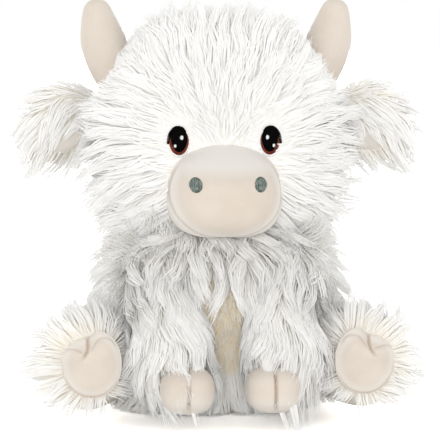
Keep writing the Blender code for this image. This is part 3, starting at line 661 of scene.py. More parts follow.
head_nap += tousle(head_points, head_normals) * soft_range(from_nose, 0.030, 0.055)[:, None]
store_on(head_skin, "comb", head_nap, "FLOAT_VECTOR")
head_parts = {
    "face_pile": (head_points[:, 1] < -0.022) & (head_points[:, 2] < 0.205),
    "crown_pile": head_points[:, 2] >= 0.205,
    "cheek_pile": (head_points[:, 1] >= -0.022) & (head_points[:, 1] < 0.018) & (head_points[:, 2] < 0.205),
    "nape_pile": (head_points[:, 1] >= 0.018) & (head_points[:, 2] < 0.205),
}
for part_name, inside in head_parts.items():
    store_on(head_skin, "pile", np.where(inside, head_pile, 0), "FLOAT")
    pile = grow(long_pile, head_skin, part_name, neutral_shaded_fibre, seed=21, lowest_height=0.0, wave=0.09,
                root_stand=0.5)
    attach(pile, "head")

# Torso
# A pear of the same pile fabric that sits flat on its pellets, with its narrow end sewn into the head. The nap falls
# from the neck to the floor on all sides, longest on the chest. Nothing grows under the seat.
TORSO_MIDDLE_HEIGHT = 0.054
TORSO_RISE = 0.068
TORSO_FALL = 0.060
TORSO_SQUARENESS = 2.4
TORSO_FABRIC_DEPTH = 0.0095
SEAT_HEIGHT = 0.0026
TORSO_PILE_LENGTH = 0.036
TORSO_PILE_TOP = 0.117
# A warmer backing: painted warm shade deep between the locks of the body, legs and tail.
WARM_SHADE_BACKING = ((0.97, 0.93, 0.86, 1), (0.95, 0.90, 0.80, 1))
BIB_SWELL = 0.009
BIB_FOOT = (0.040, 0.075)
BIB_TOP = (0.100, 0.125)
BIB_SIDE = (0.020, 0.065)
MANE_FOOT = 0.064
MANE_NOTCH_RISE = 0.020
MANE_NOTCH_SIDE = (0.008, 0.026)
MANE_PILE_LENGTH = 0.041
BELLY_GAP_WIDTH = 0.016
BELLY_GAP_FOOT = 0.030
BELLY_PILE_LENGTH = 0.009
# The golden fibre of the short pile between the front legs is painted shade in the gap.
BELLY_SHADE_PILE = ((0.90, 0.76, 0.53, 1), (0.94, 0.84, 0.66, 1), (0.97, 0.91, 0.80, 1))
TORSO_UNDERSIDE_SLOPE = -0.85
UNDERSIDE_SLOPE = -0.55


def set_down(bm, height):
    """Flattens what is under a height, as the weight of the filling does."""
    for vert in bm.verts:
        vert.co.z = max(vert.co.z, height)


def coat(skin, name, body, nap, lengths, fibre=warm_shaded_fibre, **settings):
    """Grows long pile on a skin along its tousled nap, as a piece that moves with the body."""
    store_on(skin, "comb", nap + tousle(*points_and_normals(skin)), "FLOAT_VECTOR")
    store_on(skin, "pile", lengths, "FLOAT")
    pile = grow(long_pile, skin, name, fibre, **settings)
    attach(pile, body)
    return pile


def stuffed(skin, body, node):
    """Hangs a stuffed piece of fabric on its body and hides the CAD node that it stands for."""
    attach(skin, body)
    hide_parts(node)


warm_shade_backing = fabric_backing("warm_shade_backing", WARM_SHADE_BACKING)
torso_low, torso_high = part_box("torso")
torso_middle = Vector((0, (torso_low.y + torso_high.y) / 2, TORSO_MIDDLE_HEIGHT))
torso_bm = stuffed_ball(
    torso_middle, torso_high.x - TORSO_FABRIC_DEPTH, (torso_high.y - torso_low.y) / 2 - TORSO_FABRIC_DEPTH,
    TORSO_RISE, TORSO_FALL, TORSO_SQUARENESS,
)
set_down(torso_bm, SEAT_HEIGHT)
for vert in torso_bm.verts:
    in_bib = smooth_step(vert.co.z, *BIB_FOOT) * (1 - smooth_step(vert.co.z, *BIB_TOP))
    in_bib *= smooth_step(-vert.co.y, 0.0, 0.03) * (1 - smooth_step(abs(vert.co.x), *BIB_SIDE))
    vert.co.y -= BIB_SWELL * in_bib
torso_skin = new_piece(torso_bm, "torso_skin", warm_shade_backing)
torso_tree = BVHTree.FromObject(torso_skin, bpy.context.evaluated_depsgraph_get())
stuffed(torso_skin, "body", "torso")

torso_points, torso_normals = points_and_normals(torso_skin)
fanned = np.stack([torso_points[:, 0] / torso_high.x, np.zeros(len(torso_points)), -np.ones(len(torso_points))], axis=1)
torso_nap = along_skin(fanned + torso_normals * [0.5, 0.5, 0], torso_normals)
torso_lengths = np.full(len(torso_points), TORSO_PILE_LENGTH)
torso_lengths[(torso_normals[:, 2] < TORSO_UNDERSIDE_SLOPE) | (torso_points[:, 2] > TORSO_PILE_TOP)] = 0
in_front = torso_points[:, 1] < torso_middle.y
mane_foot = MANE_FOOT + MANE_NOTCH_RISE * (1 - soft_range(np.abs(torso_points[:, 0]), *MANE_NOTCH_SIDE))
mane = in_front & (torso_points[:, 2] > mane_foot)
belly = in_front & ~mane & (np.abs(torso_points[:, 0]) < BELLY_GAP_WIDTH) & (torso_points[:, 2] > BELLY_GAP_FOOT)
flank = in_front & ~mane & ~belly
torso_lengths[mane] *= MANE_PILE_LENGTH / TORSO_PILE_LENGTH
for name, side in sides.items():
    this_half = torso_points[:, 0] * side >= 0
    coat(torso_skin, f"mane_pile_{name}", "body", torso_nap, np.where(mane & this_half, torso_lengths, 0), seed=31,
         root_stand=0.65, tip_rise=0.22, droop=0.35, wave=0.10, lock_spacing=0.0062,
         strands_per_square_metre=750000.0)
    coat(torso_skin, f"flank_pile_{name}", "body", torso_nap, np.where(flank & this_half, torso_lengths, 0), seed=33,
         root_stand=0.5, tip_rise=0.15)
    coat(torso_skin, f"back_pile_{name}", "body", torso_nap, np.where(~in_front & this_half, torso_lengths, 0), seed=32)
# Painted shade: a short golden pile in the gap between the front legs.
belly_shade_fibre = long_pile_fibre("belly_shade_pile_fibre", BELLY_SHADE_PILE)
coat(torso_skin, "belly_pile", "body", torso_nap, np.where(belly, BELLY_PILE_LENGTH, 0), belly_shade_fibre, seed=34)

# Seat panel and pellet pouch
# The underside is closed with an oval panel of flat cloth. Behind it a woven bag of plastic pellets gives the weight
# that keeps the cow upright. Neither shows while the cow sits.
PANEL_SQUARENESS = 2.2
POUCH_SQUARENESS = 2.6
POUCH_DIMPLE = 0.0009
POUCH_DIMPLES = 26.0
CLOTH_COLOUR = (0.70, 0.66, 0.60, 1)
CLOTH_SHADE = (0.56, 0.52, 0.46, 1)
THREADS_PER_METRE = 1500.0


def woven_cloth():
    """Plain weave: two sets of threads that cross at a right angle."""
    material = bpy.data.materials.new("woven_cloth")
    material.use_nodes = True
    nodes = material.node_tree.nodes
    links = material.node_tree.links
    shader = nodes["Principled BSDF"]
    shader.inputs["Roughness"].default_value = 0.9
    shader.inputs["Specular IOR Level"].default_value = 0.2
    place = nodes.new("ShaderNodeTexCoord")
    weave = nodes.new("ShaderNodeMath")
    weave.operation = "MULTIPLY"
    for index, way in enumerate(("X", "Y")):
        threads = nodes.new("ShaderNodeTexWave")
        threads.bands_direction = way
        threads.inputs["Scale"].default_value = THREADS_PER_METRE / 3
        threads.inputs["Distortion"].default_value = 0.4
        links.new(place.outputs["Object"], threads.inputs["Vector"])
        links.new(threads.outputs["Fac"], weave.inputs[index])
    colour = nodes.new("ShaderNodeValToRGB")
    colour.color_ramp.elements[0].color = CLOTH_SHADE
    colour.color_ramp.elements[1].color = CLOTH_COLOUR
    bump = nodes.new("ShaderNodeBump")
    bump.inputs["Strength"].default_value = 0.5
    bump.inputs["Distance"].default_value = 0.0002
    links.new(weave.outputs["Value"], colour.inputs["Fac"])
    links.new(colour.outputs["Color"], shader.inputs["Base Color"])
    links.new(weave.outputs["Value"], bump.inputs["Height"])
    links.new(bump.outputs["Normal"], shader.inputs["Normal"])
    return material


def ball_in_box(node, squareness, inset=0.0, around=56, upward=36):
    """A stuffed ball that fills the box of a CAD node."""
    low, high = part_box(node)
    half = (high - low) / 2 - Vector((inset, inset, inset))
    return stuffed_ball((low + high) / 2, half.x, half.y, half.z, half.z, squareness, around, upward)


cloth = woven_cloth()
panel = new_piece(ball_in_box("seat_panel", PANEL_SQUARENESS), "seat_panel_cloth", cloth)
stuffed(panel, "body", "seat_panel")
pouch_bm = ball_in_box("pellet_pouch", POUCH_SQUARENESS)
for vert in pouch_bm.verts:
    lumps = vert.co / 0.006
    vert.co -= vert.normal * POUCH_DIMPLE * (0.5 + 0.5 * math.sin(lumps.x * 2) * math.sin(lumps.y * 2))
pouch = new_piece(pouch_bm, "pellet_pouch_cloth", cloth)
stuffed(pouch, "body", "pellet_pouch")

# Short pile
# Horns, muzzle, ear linings, hooves and soles are beige velour with a pile of about a millimetre. Brushing it one way or
# another leaves paler and darker patches, and the fabric shines softly where it turns away.
VELOUR_COLOUR = (0.77, 0.695, 0.61, 1)
VELOUR_SHADE = (0.71, 0.625, 0.54, 1)
# A paler beige: the ear linings' own colour, and painted light and highlight on the muzzle and soles.
VELOUR_PALE_AND_LIT = (0.83, 0.79, 0.735, 1)
# Dark brown of the seam lines, with painted shade in their grooves, clefts and folds.
VELOUR_SEAM_AND_SHADE = (0.50, 0.385, 0.28, 1)
PATCH_SCALE = 55.0
PILE_GRAIN = 1900.0


def velour():
    """Short beige pile."""
    material = bpy.data.materials.new("velour")
    material.use_nodes = True
    nodes = material.node_tree.nodes
    links = material.node_tree.links
    shader = nodes["Principled BSDF"]
    shader.inputs["Roughness"].default_value = 0.92
    shader.inputs["Specular IOR Level"].default_value = 0.2
    shader.inputs["Sheen Weight"].default_value = 0.35
    shader.inputs["Sheen Roughness"].default_value = 0.5
    place = nodes.new("ShaderNodeTexCoord")
    patches = nodes.new("ShaderNodeTexNoise")
    patches.inputs["Scale"].default_value = PATCH_SCALE
    patches.inputs["Detail"].default_value = 4.0
    grain = nodes.new("ShaderNodeTexNoise")
    grain.inputs["Scale"].default_value = PILE_GRAIN
    grain.inputs["Detail"].default_value = 2.0
    both = nodes.new("ShaderNodeMath")
    both.operation = "MULTIPLY_ADD"
    both.inputs[1].default_value = 0.55
    colour = nodes.new("ShaderNodeValToRGB")
    colour.color_ramp.elements[0].position = 0.55
    colour.color_ramp.elements[0].color = VELOUR_SHADE
    colour.color_ramp.elements[1].position = 1.0
    colour.color_ramp.elements[1].color = VELOUR_COLOUR
    bump = nodes.new("ShaderNodeBump")
    bump.inputs["Strength"].default_value = 0.45
    bump.inputs["Distance"].default_value = 0.0003
    links.new(place.outputs["Object"], patches.inputs["Vector"])
    links.new(place.outputs["Object"], grain.inputs["Vector"])
    links.new(grain.outputs["Fac"], both.inputs[0])
    links.new(patches.outputs["Fac"], both.inputs[2])
    links.new(both.outputs["Value"], colour.inputs["Fac"])
    # Blends towards the paler beige by a point attribute: the ear linings' own paler colour, painted highlight and
    # light on the muzzle and the sole rims, and a paler lower half on the hooves.
    pale_and_lit = nodes.new("ShaderNodeAttribute")
    pale_and_lit.attribute_name = "pale_and_lit"
    pale_and_lit_mix = nodes.new("ShaderNodeMix")
    pale_and_lit_mix.data_type = "RGBA"
    pale_and_lit_mix.inputs["B"].default_value = VELOUR_PALE_AND_LIT
    links.new(pale_and_lit.outputs["Fac"], pale_and_lit_mix.inputs["Factor"])
    links.new(colour.outputs["Color"], pale_and_lit_mix.inputs["A"])
    # Blends towards the dark brown by a second point attribute: the seam lines, and painted shade in their grooves,
    # clefts and folds.
    seam_and_shade = nodes.new("ShaderNodeAttribute")
    seam_and_shade.attribute_name = "seam_and_shade"
    seam_and_shade_mix = nodes.new("ShaderNodeMix")
    seam_and_shade_mix.data_type = "RGBA"
    seam_and_shade_mix.inputs["B"].default_value = VELOUR_SEAM_AND_SHADE
    links.new(seam_and_shade.outputs["Fac"], seam_and_shade_mix.inputs["Factor"])
    links.new(pale_and_lit_mix.outputs["Result"], seam_and_shade_mix.inputs["A"])
    links.new(seam_and_shade_mix.outputs["Result"], shader.inputs["Base Color"])
    links.new(grain.outputs["Fac"], bump.inputs["Height"])
    links.new(bump.outputs["Normal"], shader.inputs["Normal"])
    return material


beige = velour()

# Muzzle
# A stuffed pad of velour with a flat front and a sloping top, sewn to the face all round. It is cut as a front and a
# narrow side band, and the seam between them runs just inside its outline.
MUZZLE_MIDDLE_HEIGHT = 0.1375
MUZZLE_HALF_WIDTH = 0.0337
MUZZLE_RISE = 0.0287
MUZZLE_FALL = 0.0272
MUZZLE_ROUND_TOP = 2.2
MUZZLE_SQUARE_BOTTOM = 2.9
MUZZLE_TOP_SLOPE = 0.30
MUZZLE_SEAM_REACH = 0.985
MUZZLE_SEAM_WIDTH = 0.012
MUZZLE_SEAM_DEPTH = 0.0009
# Painted highlight inside the rim, and painted light on the sloping top.
MUZZLE_HIGHLIGHT_RIM = (0.80, 0.96)
MUZZLE_LIT_TOP = (0.25, 0.60)
MUZZLE_BAND_SWELL = 0.0005

muzzle_low, muzzle_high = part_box("muzzle")
muzzle_back = muzzle_high.y
muzzle_bm = bmesh.new()
bmesh.ops.create_uvsphere(muzzle_bm, u_segments=144, v_segments=96, radius=1.0)
bmesh.ops.rotate(muzzle_bm, verts=muzzle_bm.verts, matrix=Matrix.Rotation(math.radians(90), 3, "X"))
muzzle_seam_and_shade = muzzle_bm.verts.layers.float.new("seam_and_shade")
muzzle_painted_light = muzzle_bm.verts.layers.float.new("pale_and_lit")
for vert in muzzle_bm.verts:
    flat = vert.co.normalized()
    squareness = MUZZLE_ROUND_TOP + (MUZZLE_SQUARE_BOTTOM - MUZZLE_ROUND_TOP) * smooth_step(-flat.z, -0.4, 0.4)
    point = flat * sum(abs(part) ** squareness for part in flat) ** (-1 / squareness)
    depth = muzzle_back - muzzle_low.y
    slope = 1 - MUZZLE_TOP_SLOPE * smooth_step(point.z, 0.1, 1.2)
    reach = math.hypot(point.x, point.z)
    # Along the seam the pad dips in and turns darker: a groove, with painted shade in it.
    seam_and_shade = math.exp(-((reach - MUZZLE_SEAM_REACH) / MUZZLE_SEAM_WIDTH) ** 2) if point.y < 0 else 0
    seam_and_shade *= 1 - smooth_step(point.z, 0.35, 0.75)
    band = MUZZLE_BAND_SWELL * smooth_step(reach, MUZZLE_SEAM_REACH, 1.0)
    tall = MUZZLE_RISE if point.z > 0 else MUZZLE_FALL
    vert.co = Vector((
        point.x * (MUZZLE_HALF_WIDTH + band),
        muzzle_back + point.y * depth * slope,
        MUZZLE_MIDDLE_HEIGHT + point.z * (tall + band),
    ))
    vert.co -= flat * seam_and_shade * MUZZLE_SEAM_DEPTH
    vert[muzzle_seam_and_shade] = seam_and_shade * 0.6
    # Paler towards the rim and on the top: painted highlight and painted light.
    vert[muzzle_painted_light] = max(smooth_step(reach, *MUZZLE_HIGHLIGHT_RIM), smooth_step(point.z, *MUZZLE_LIT_TOP))
muzzle = new_piece(muzzle_bm, "muzzle_velour", beige)
muzzle_tree = BVHTree.FromObject(muzzle, bpy.context.evaluated_depsgraph_get())
stuffed(muzzle, "head", "muzzle")

# Embroidery
# Eyes and nostrils are satin stitch: rows of shiny thread laid side by side over the pad that they cover, dipping into
# the fabric at both ends. The eye has a white ground, a red-brown iris, a black pupil and lid, and two white glints.
THREAD_RADIUS = 0.00020
STITCH_SPACING = 0.00030
STITCH_POINTS = 7
STITCH_RAISE = 0.00045
STITCH_LAYER = 0.00035
EYE_MIDDLE = (0.0268, 0.1668)
IRIS_HALF = (0.0057, 0.0079)
PUPIL_MIDDLE = (0.0002, 0.0013)
PUPIL_HALF = (0.0047, 0.0074)
WHITE_MIDDLE = (0.0001, -0.0010)
WHITE_HALF = (0.0062, 0.0084)
GLINTS = {"large": ((0.0017, 0.0024), (0.0008, 0.0014)), "small": ((-0.0021, -0.0025), (0.0007, 0.0010))}
LID_PATH = ((-0.0065, -0.0013), (-0.0050, 0.0040), (-0.0018, 0.0074), (0.0016, 0.0076), (0.0038, 0.0056))
LID_HALF_WIDTH = 0.0014
NOSTRIL_MIDDLE = (0.0188, 0.1434)
NOSTRIL_HALF = (0.0036, 0.0043)
WHITE_THREAD = ((0.93, 0.93, 0.92, 1), (0.86, 0.86, 0.85, 1))
BROWN_THREAD = ((0.25, 0.055, 0.025, 1), (0.11, 0.018, 0.012, 1))
BLACK_THREAD = ((0.0016, 0.0012, 0.0014, 1), (0.001, 0.001, 0.0012, 1))
GREY_THREAD = ((0.33, 0.38, 0.35, 1), (0.05, 0.08, 0.068, 1))
THREAD_SHINE = 0.16
BLACK_SHINE = 0.03
FLECK = (0.01, 0.16, 1.0)


def embroidery_thread(name, colours, shine=THREAD_SHINE):
    """Twisted shiny thread that is flecked with two shades, stitch by stitch and along each stitch."""
    material = bpy.data.materials.new(name)
    material.use_nodes = True
    nodes = material.node_tree.nodes
    links = material.node_tree.links
    shader = nodes["Principled BSDF"]
    shader.inputs["Roughness"].default_value = 0.45
    shader.inputs["Specular IOR Level"].default_value = shine
    chart = nodes.new("ShaderNodeUVMap")
    chart.uv_map = "OFBake"
    chance = nodes.new("ShaderNodeTexWhiteNoise")
    fleck = nodes.new("ShaderNodeVectorMath")
    fleck.operation = "SNAP"
    fleck.inputs[1].default_value = FLECK
    colour = nodes.new("ShaderNodeMix")
    colour.data_type = "RGBA"
    colour.inputs["A"].default_value = colours[0]
    colour.inputs["B"].default_value = colours[1]
    twist = nodes.new("ShaderNodeTexWave")
    twist.bands_direction = "DIAGONAL"
    twist.inputs["Scale"].default_value = 9.0
    bump = nodes.new("ShaderNodeBump")
    bump.inputs["Strength"].default_value = 0.35
    bump.inputs["Distance"].default_value = 0.0001
    links.new(chart.outputs["UV"], fleck.inputs[0])
    links.new(fleck.outputs["Vector"], chance.inputs["Vector"])
    links.new(chance.outputs["Value"], colour.inputs["Factor"])
    links.new(colour.outputs["Result"], shader.inputs["Base Color"])
    links.new(chart.outputs["UV"], twist.inputs["Vector"])
    links.new(twist.outputs["Fac"], bump.inputs["Height"])
    links.new(bump.outputs["Normal"], shader.inputs["Normal"])
    return material


def thread_tree():
    """Round thread along every edge line of a mesh."""
    work = Workings("embroidery")
    lines = work.asks("Geometry", "NodeSocketGeometry")
    radius = work.asks("Thread Radius", "NodeSocketFloat", THREAD_RADIUS)
    sides_around = work.asks("Sides", "NodeSocketInt", 6)
    fibre_material = work.asks("Fibre", "NodeSocketMaterial")
    curves = work.node("GeometryNodeMeshToCurve", {"Mesh": lines})
    spline_number = work.node("GeometryNodeInputIndex")
    curves = work.stores(curves, "stitch", spline_number, "INT", "CURVE")
    curves = work.stores(curves, "along", work.node("GeometryNodeSplineParameter"))
    profile = work.node("GeometryNodeCurvePrimitiveCircle", {"Resolution": sides_around, "Radius": radius})
    profile = work.stores(profile, "around", work.node("GeometryNodeSplineParameter"))
    thread = work.node("GeometryNodeCurveToMesh", {"Curve": curves, "Profile Curve": profile, "Fill Caps": True})
    own_chart = work.number("MULTIPLY_ADD", work.reads("around"), 0.006, work.number(
        "MULTIPLY_ADD", work.number("FLOORED_MODULO", work.reads("stitch", "INT"), 97.0), 0.01, 0.012
    ))
    chart = work.node("ShaderNodeCombineXYZ", {"X": own_chart, "Y": work.reads("along")})
    thread = work.stores(thread, "OFBake", chart, "FLOAT2", "CORNER")
    work.ends(thread, fibre_material)
    return work


def oval_rows(middle, half, spacing=STITCH_SPACING):
    """Upright stitches, side by side, that fill an oval: the two ends of each."""
    count = int(2 * half[0] / spacing)
    rows = []
    for index in range(count):
        across = -half[0] + (index + 0.5) * 2 * half[0] / count
        reach = half[1] * math.sqrt(1 - (across / half[0]) ** 2)
        rows.append(((middle[0] + across, middle[1] - reach), (middle[0] + across, middle[1] + reach)))
    return rows


def band_rows(path, half_width, spacing=STITCH_SPACING):
    """Short stitches across a curved band that tapers to its ends: the two ends of each."""
    corners = [Vector(point) for point in path]
    lengths = [(b - a).length for a, b in zip(corners, corners[1:])]
    count = int(sum(lengths) / spacing)
    rows = []
    for index in range(count):
        part = (index + 0.5) / count
        at = part * (len(corners) - 1)
        piece = min(int(at), len(corners) - 2)
        before = corners[max(piece - 1, 0)]
        after = corners[min(piece + 2, len(corners) - 1)]
        start, end = corners[piece], corners[piece + 1]
        t = at - piece
        point = 0.5 * (
            2 * start + (end - before) * t + (2 * before - 5 * start + 4 * end - after) * t ** 2
            + (3 * start - before - 3 * end + after) * t ** 3
        )
        along = (end - before).lerp(after - start, t).normalized()
        reach = half_width * (0.35 + 0.65 * math.sin(math.pi * part))
        across = Vector((-along.y, along.x)) * reach
        rows.append((tuple(point - across), tuple(point + across)))
    return rows


def embroider(name, rows, middle, side, ground, level, material, body):
    """Lays stitches on a skin and keeps them as one piece. Rows are measured towards the nose and up."""
    bm = bmesh.new()
    for start, end in rows:
        previous = None
        for step in range(STITCH_POINTS):
            t = step / (STITCH_POINTS - 1)
            inward = start[0] + (end[0] - start[0]) * t
            upward = start[1] + (end[1] - start[1]) * t
            from_front = Vector((side * (middle[0] - inward), -0.3, middle[1] + upward))
            place, normal, _, _ = ground.ray_cast(from_front, Vector((0, 1, 0)))
            height = level * STITCH_LAYER + STITCH_RAISE * (1 - (2 * t - 1) ** 4)
            vert = bm.verts.new(place + normal * height)
            if previous is not None:
                bm.edges.new((previous, vert))
            previous = vert
    mesh = bpy.data.meshes.new(name)
    bm.to_mesh(mesh)
    bm.free()
    lines = bpy.data.objects.new(name + "_lines", mesh)
    thread = grow(embroidery, lines, name, material)
    thread.data.shade_smooth()
    bpy.data.objects.remove(lines)
    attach(thread, body)
    return thread


embroidery = thread_tree()
white_thread = embroidery_thread("white_thread", WHITE_THREAD)
brown_thread = embroidery_thread("brown_thread", BROWN_THREAD)
black_thread = embroidery_thread("black_thread", BLACK_THREAD, BLACK_SHINE)
grey_thread = embroidery_thread("grey_green_thread", GREY_THREAD)
for name, side in sides.items():
    eye_parts = {
        "white": (oval_rows(WHITE_MIDDLE, WHITE_HALF), 0, white_thread),
        "iris": (oval_rows((0, 0), IRIS_HALF), 1, brown_thread),
        "pupil": (oval_rows(PUPIL_MIDDLE, PUPIL_HALF), 2, black_thread),
        "lid": (band_rows(LID_PATH, LID_HALF_WIDTH), 2, black_thread),
        "glints": ([row for oval in GLINTS.values() for row in oval_rows(*oval)], 3, white_thread),
    }
    for part_name, (rows, level, thread) in eye_parts.items():
        piece = embroider(
            f"eye_{part_name}_{name}", rows, EYE_MIDDLE, side, head_tree, level, thread, "head"
        )
        if part_name == "iris":
            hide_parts(f"eye_{name}")
    rows = oval_rows((0, 0), NOSTRIL_HALF)
    piece = embroider(
        f"nostril_stitches_{name}", rows, NOSTRIL_MIDDLE, side, muzzle_tree, 0, grey_thread, "head",
    )
    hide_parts(f"nostril_{name}")

# Horns
# Two stuffed horns of velour, seamed along the inner side and closed at the blunt tip. They are sewn in above the ears,
# and the pile of the head stands up round their roots.
HORN_PATH = ((0.054, 0.192), (0.0630, 0.208), (0.0684, 0.223), (0.0714, 0.236), (0.0734, 0.2494))
HORN_RADII = (0.0115, 0.0136, 0.0138, 0.0108, 0.0062)
HORN_DEPTH_SHARE = 0.88
HORN_TIP_PART = 0.12
HORN_SPANS = 60
HORN_SIDES = 48
HORN_SEAM_WIDTH = 0.10
HORN_SEAM_DEPTH = 0.0006
HORN_CREASE_DEPTH = 0.0005
HORN_CREASES = (0.34, 0.47, 0.58)


def smooth_along(values, part):
    """A value from a row of values, on a smooth curve through them, at a part of the way from 0 to 1."""
    at = part * (len(values) - 1)
    piece = min(int(at), len(values) - 2)
    before = values[max(piece - 1, 0)]
    start, end = values[piece], values[piece + 1]
    after = values[min(piece + 2, len(values) - 1)]
    t = at - piece
    return 0.5 * (
        2 * start + (end - before) * t + (2 * before - 5 * start + 4 * end - after) * t ** 2
        + (3 * start - before - 3 * end + after) * t ** 3
    )


def skin_over(rings, first, last):
    """A closed skin, as a bmesh, over rings of points with a point at either end."""
    bm = bmesh.new()
    rows = [[bm.verts.new(point) for point in ring] for ring in rings]
    around = len(rings[0])
    for row, following in zip(rows, rows[1:]):
        for step in range(around):
            after = (step + 1) % around
            bm.faces.new((row[step], row[after], following[after], following[step]))
    for row, point in ((rows[0], first), (rows[-1], last)):
        pole = bm.verts.new(point)
        for step in range(around):
            bm.faces.new((row[step], row[(step + 1) % around], pole))
    return bm


def horn_rings(side, middle_depth):
    """Rings up a horn, pinched at the inner seam and lightly creased where it bends."""
    widths = [point[0] for point in HORN_PATH]
    heights = [point[1] for point in HORN_PATH]
    rings = []
    for span in range(HORN_SPANS):
        part = math.sin(math.pi / 2 * span / (HORN_SPANS - 1))
        round_off = math.sqrt(1 - (max(part - 1 + HORN_TIP_PART, 0) / HORN_TIP_PART) ** 2)
        radius = smooth_along(HORN_RADII, part) * max(round_off, 0.05)
        creases = sum(math.exp(-((part - crease) / 0.02) ** 2) for crease in HORN_CREASES)
        middle = Vector((smooth_along(widths, part), 0, smooth_along(heights, part)))
        lean = Vector((smooth_along(widths, min(part + 0.02, 1)) - smooth_along(widths, max(part - 0.02, 0)), 0,
                       smooth_along(heights, min(part + 0.02, 1)) - smooth_along(heights, max(part - 0.02, 0))))
        across = Vector((lean.z, 0, -lean.x)).normalized()
        ring = []
        for step in range(HORN_SIDES):
            angle = 2 * math.pi * step / HORN_SIDES
            from_seam = abs(math.remainder(angle - math.pi, 2 * math.pi))
            pinch = HORN_SEAM_DEPTH * math.exp(-(from_seam / HORN_SEAM_WIDTH) ** 2)
            pinch += HORN_CREASE_DEPTH * creases * max(math.cos(angle - 0.9 * math.pi), 0)
            here = radius - pinch
            point = middle + across * (here * math.cos(angle))
            ring.append(Vector((side * point.x, middle_depth + HORN_DEPTH_SHARE * here * math.sin(angle), point.z)))
        rings.append(ring)
    return rings


for name, side in sides.items():
    low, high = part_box(f"horn_{name}")
    rings = horn_rings(side, (low.y + high.y) / 2)
    first = sum(rings[0], Vector()) / HORN_SIDES
    last = sum(rings[-1], Vector()) / HORN_SIDES + Vector((0, 0, 0.0002))
    horn = new_piece(skin_over(rings, first, last), f"horn_velour_{name}", beige)
    stuffed(horn, "head", f"horn_{name}")

# Ears
# Leaf-shaped ears of long pile that stand out sideways and hang a little, sewn at their narrow root. The pile runs to the
# tip and falls below it, so that only a little of the beige lining shows.
EAR_REACH = 0.045
EAR_SINK = 0.006
EAR_DROP = 0.0065
EAR_HALF_HEIGHT = 0.0190
EAR_HALF_THICKNESS = 0.0075
EAR_NECK_SHARE = 0.36
EAR_WIDEST = 0.58
EAR_PILE_LENGTH = 0.030
EAR_ROOT_PILE = 0.020
LINING_MIDDLE_OUT = 0.0185
LINING_MIDDLE_DOWN = 0.0105
EAR_OVERHANG = 1.1
LINING_HALF_LENGTH = 0.0135
LINING_HALF_HEIGHT = 0.0085
LINING_HALF_THICKNESS = 0.0024
LINING_LEAN = math.radians(28)
LINING_PALENESS = 0.7


def leaf_rings(root, side, around=40, spans=36):
    """Rings from the root of an ear to its tip: narrow, then broad, then round."""
    rings = []
    for span in range(1, spans):
        part = (1 - math.cos(math.pi * span / spans)) / 2
        spread = math.sin(math.pi * min(part / EAR_WIDEST, 1) / 2)
        swell = EAR_NECK_SHARE + (1 - EAR_NECK_SHARE) * spread ** 1.5
        past = max((part - EAR_WIDEST) / (1 - EAR_WIDEST), 0)
        rounding = min(math.sqrt(max(1 - past ** 2.4, 0)), math.sqrt(min(part / 0.08, 1)))
        out = side * (EAR_REACH * part - EAR_SINK)
        middle = root + Vector((out, 0, -EAR_DROP * part ** 1.6))
        ring = []
        for step in range(around):
            angle = 2 * math.pi * step / around
            upward = EAR_HALF_HEIGHT * swell * rounding * math.sin(angle)
            outward = EAR_HALF_THICKNESS * (0.6 + 0.4 * swell) * rounding * math.cos(angle)
            ring.append(middle + Vector((0, outward, upward)))
        rings.append(ring)
    return rings


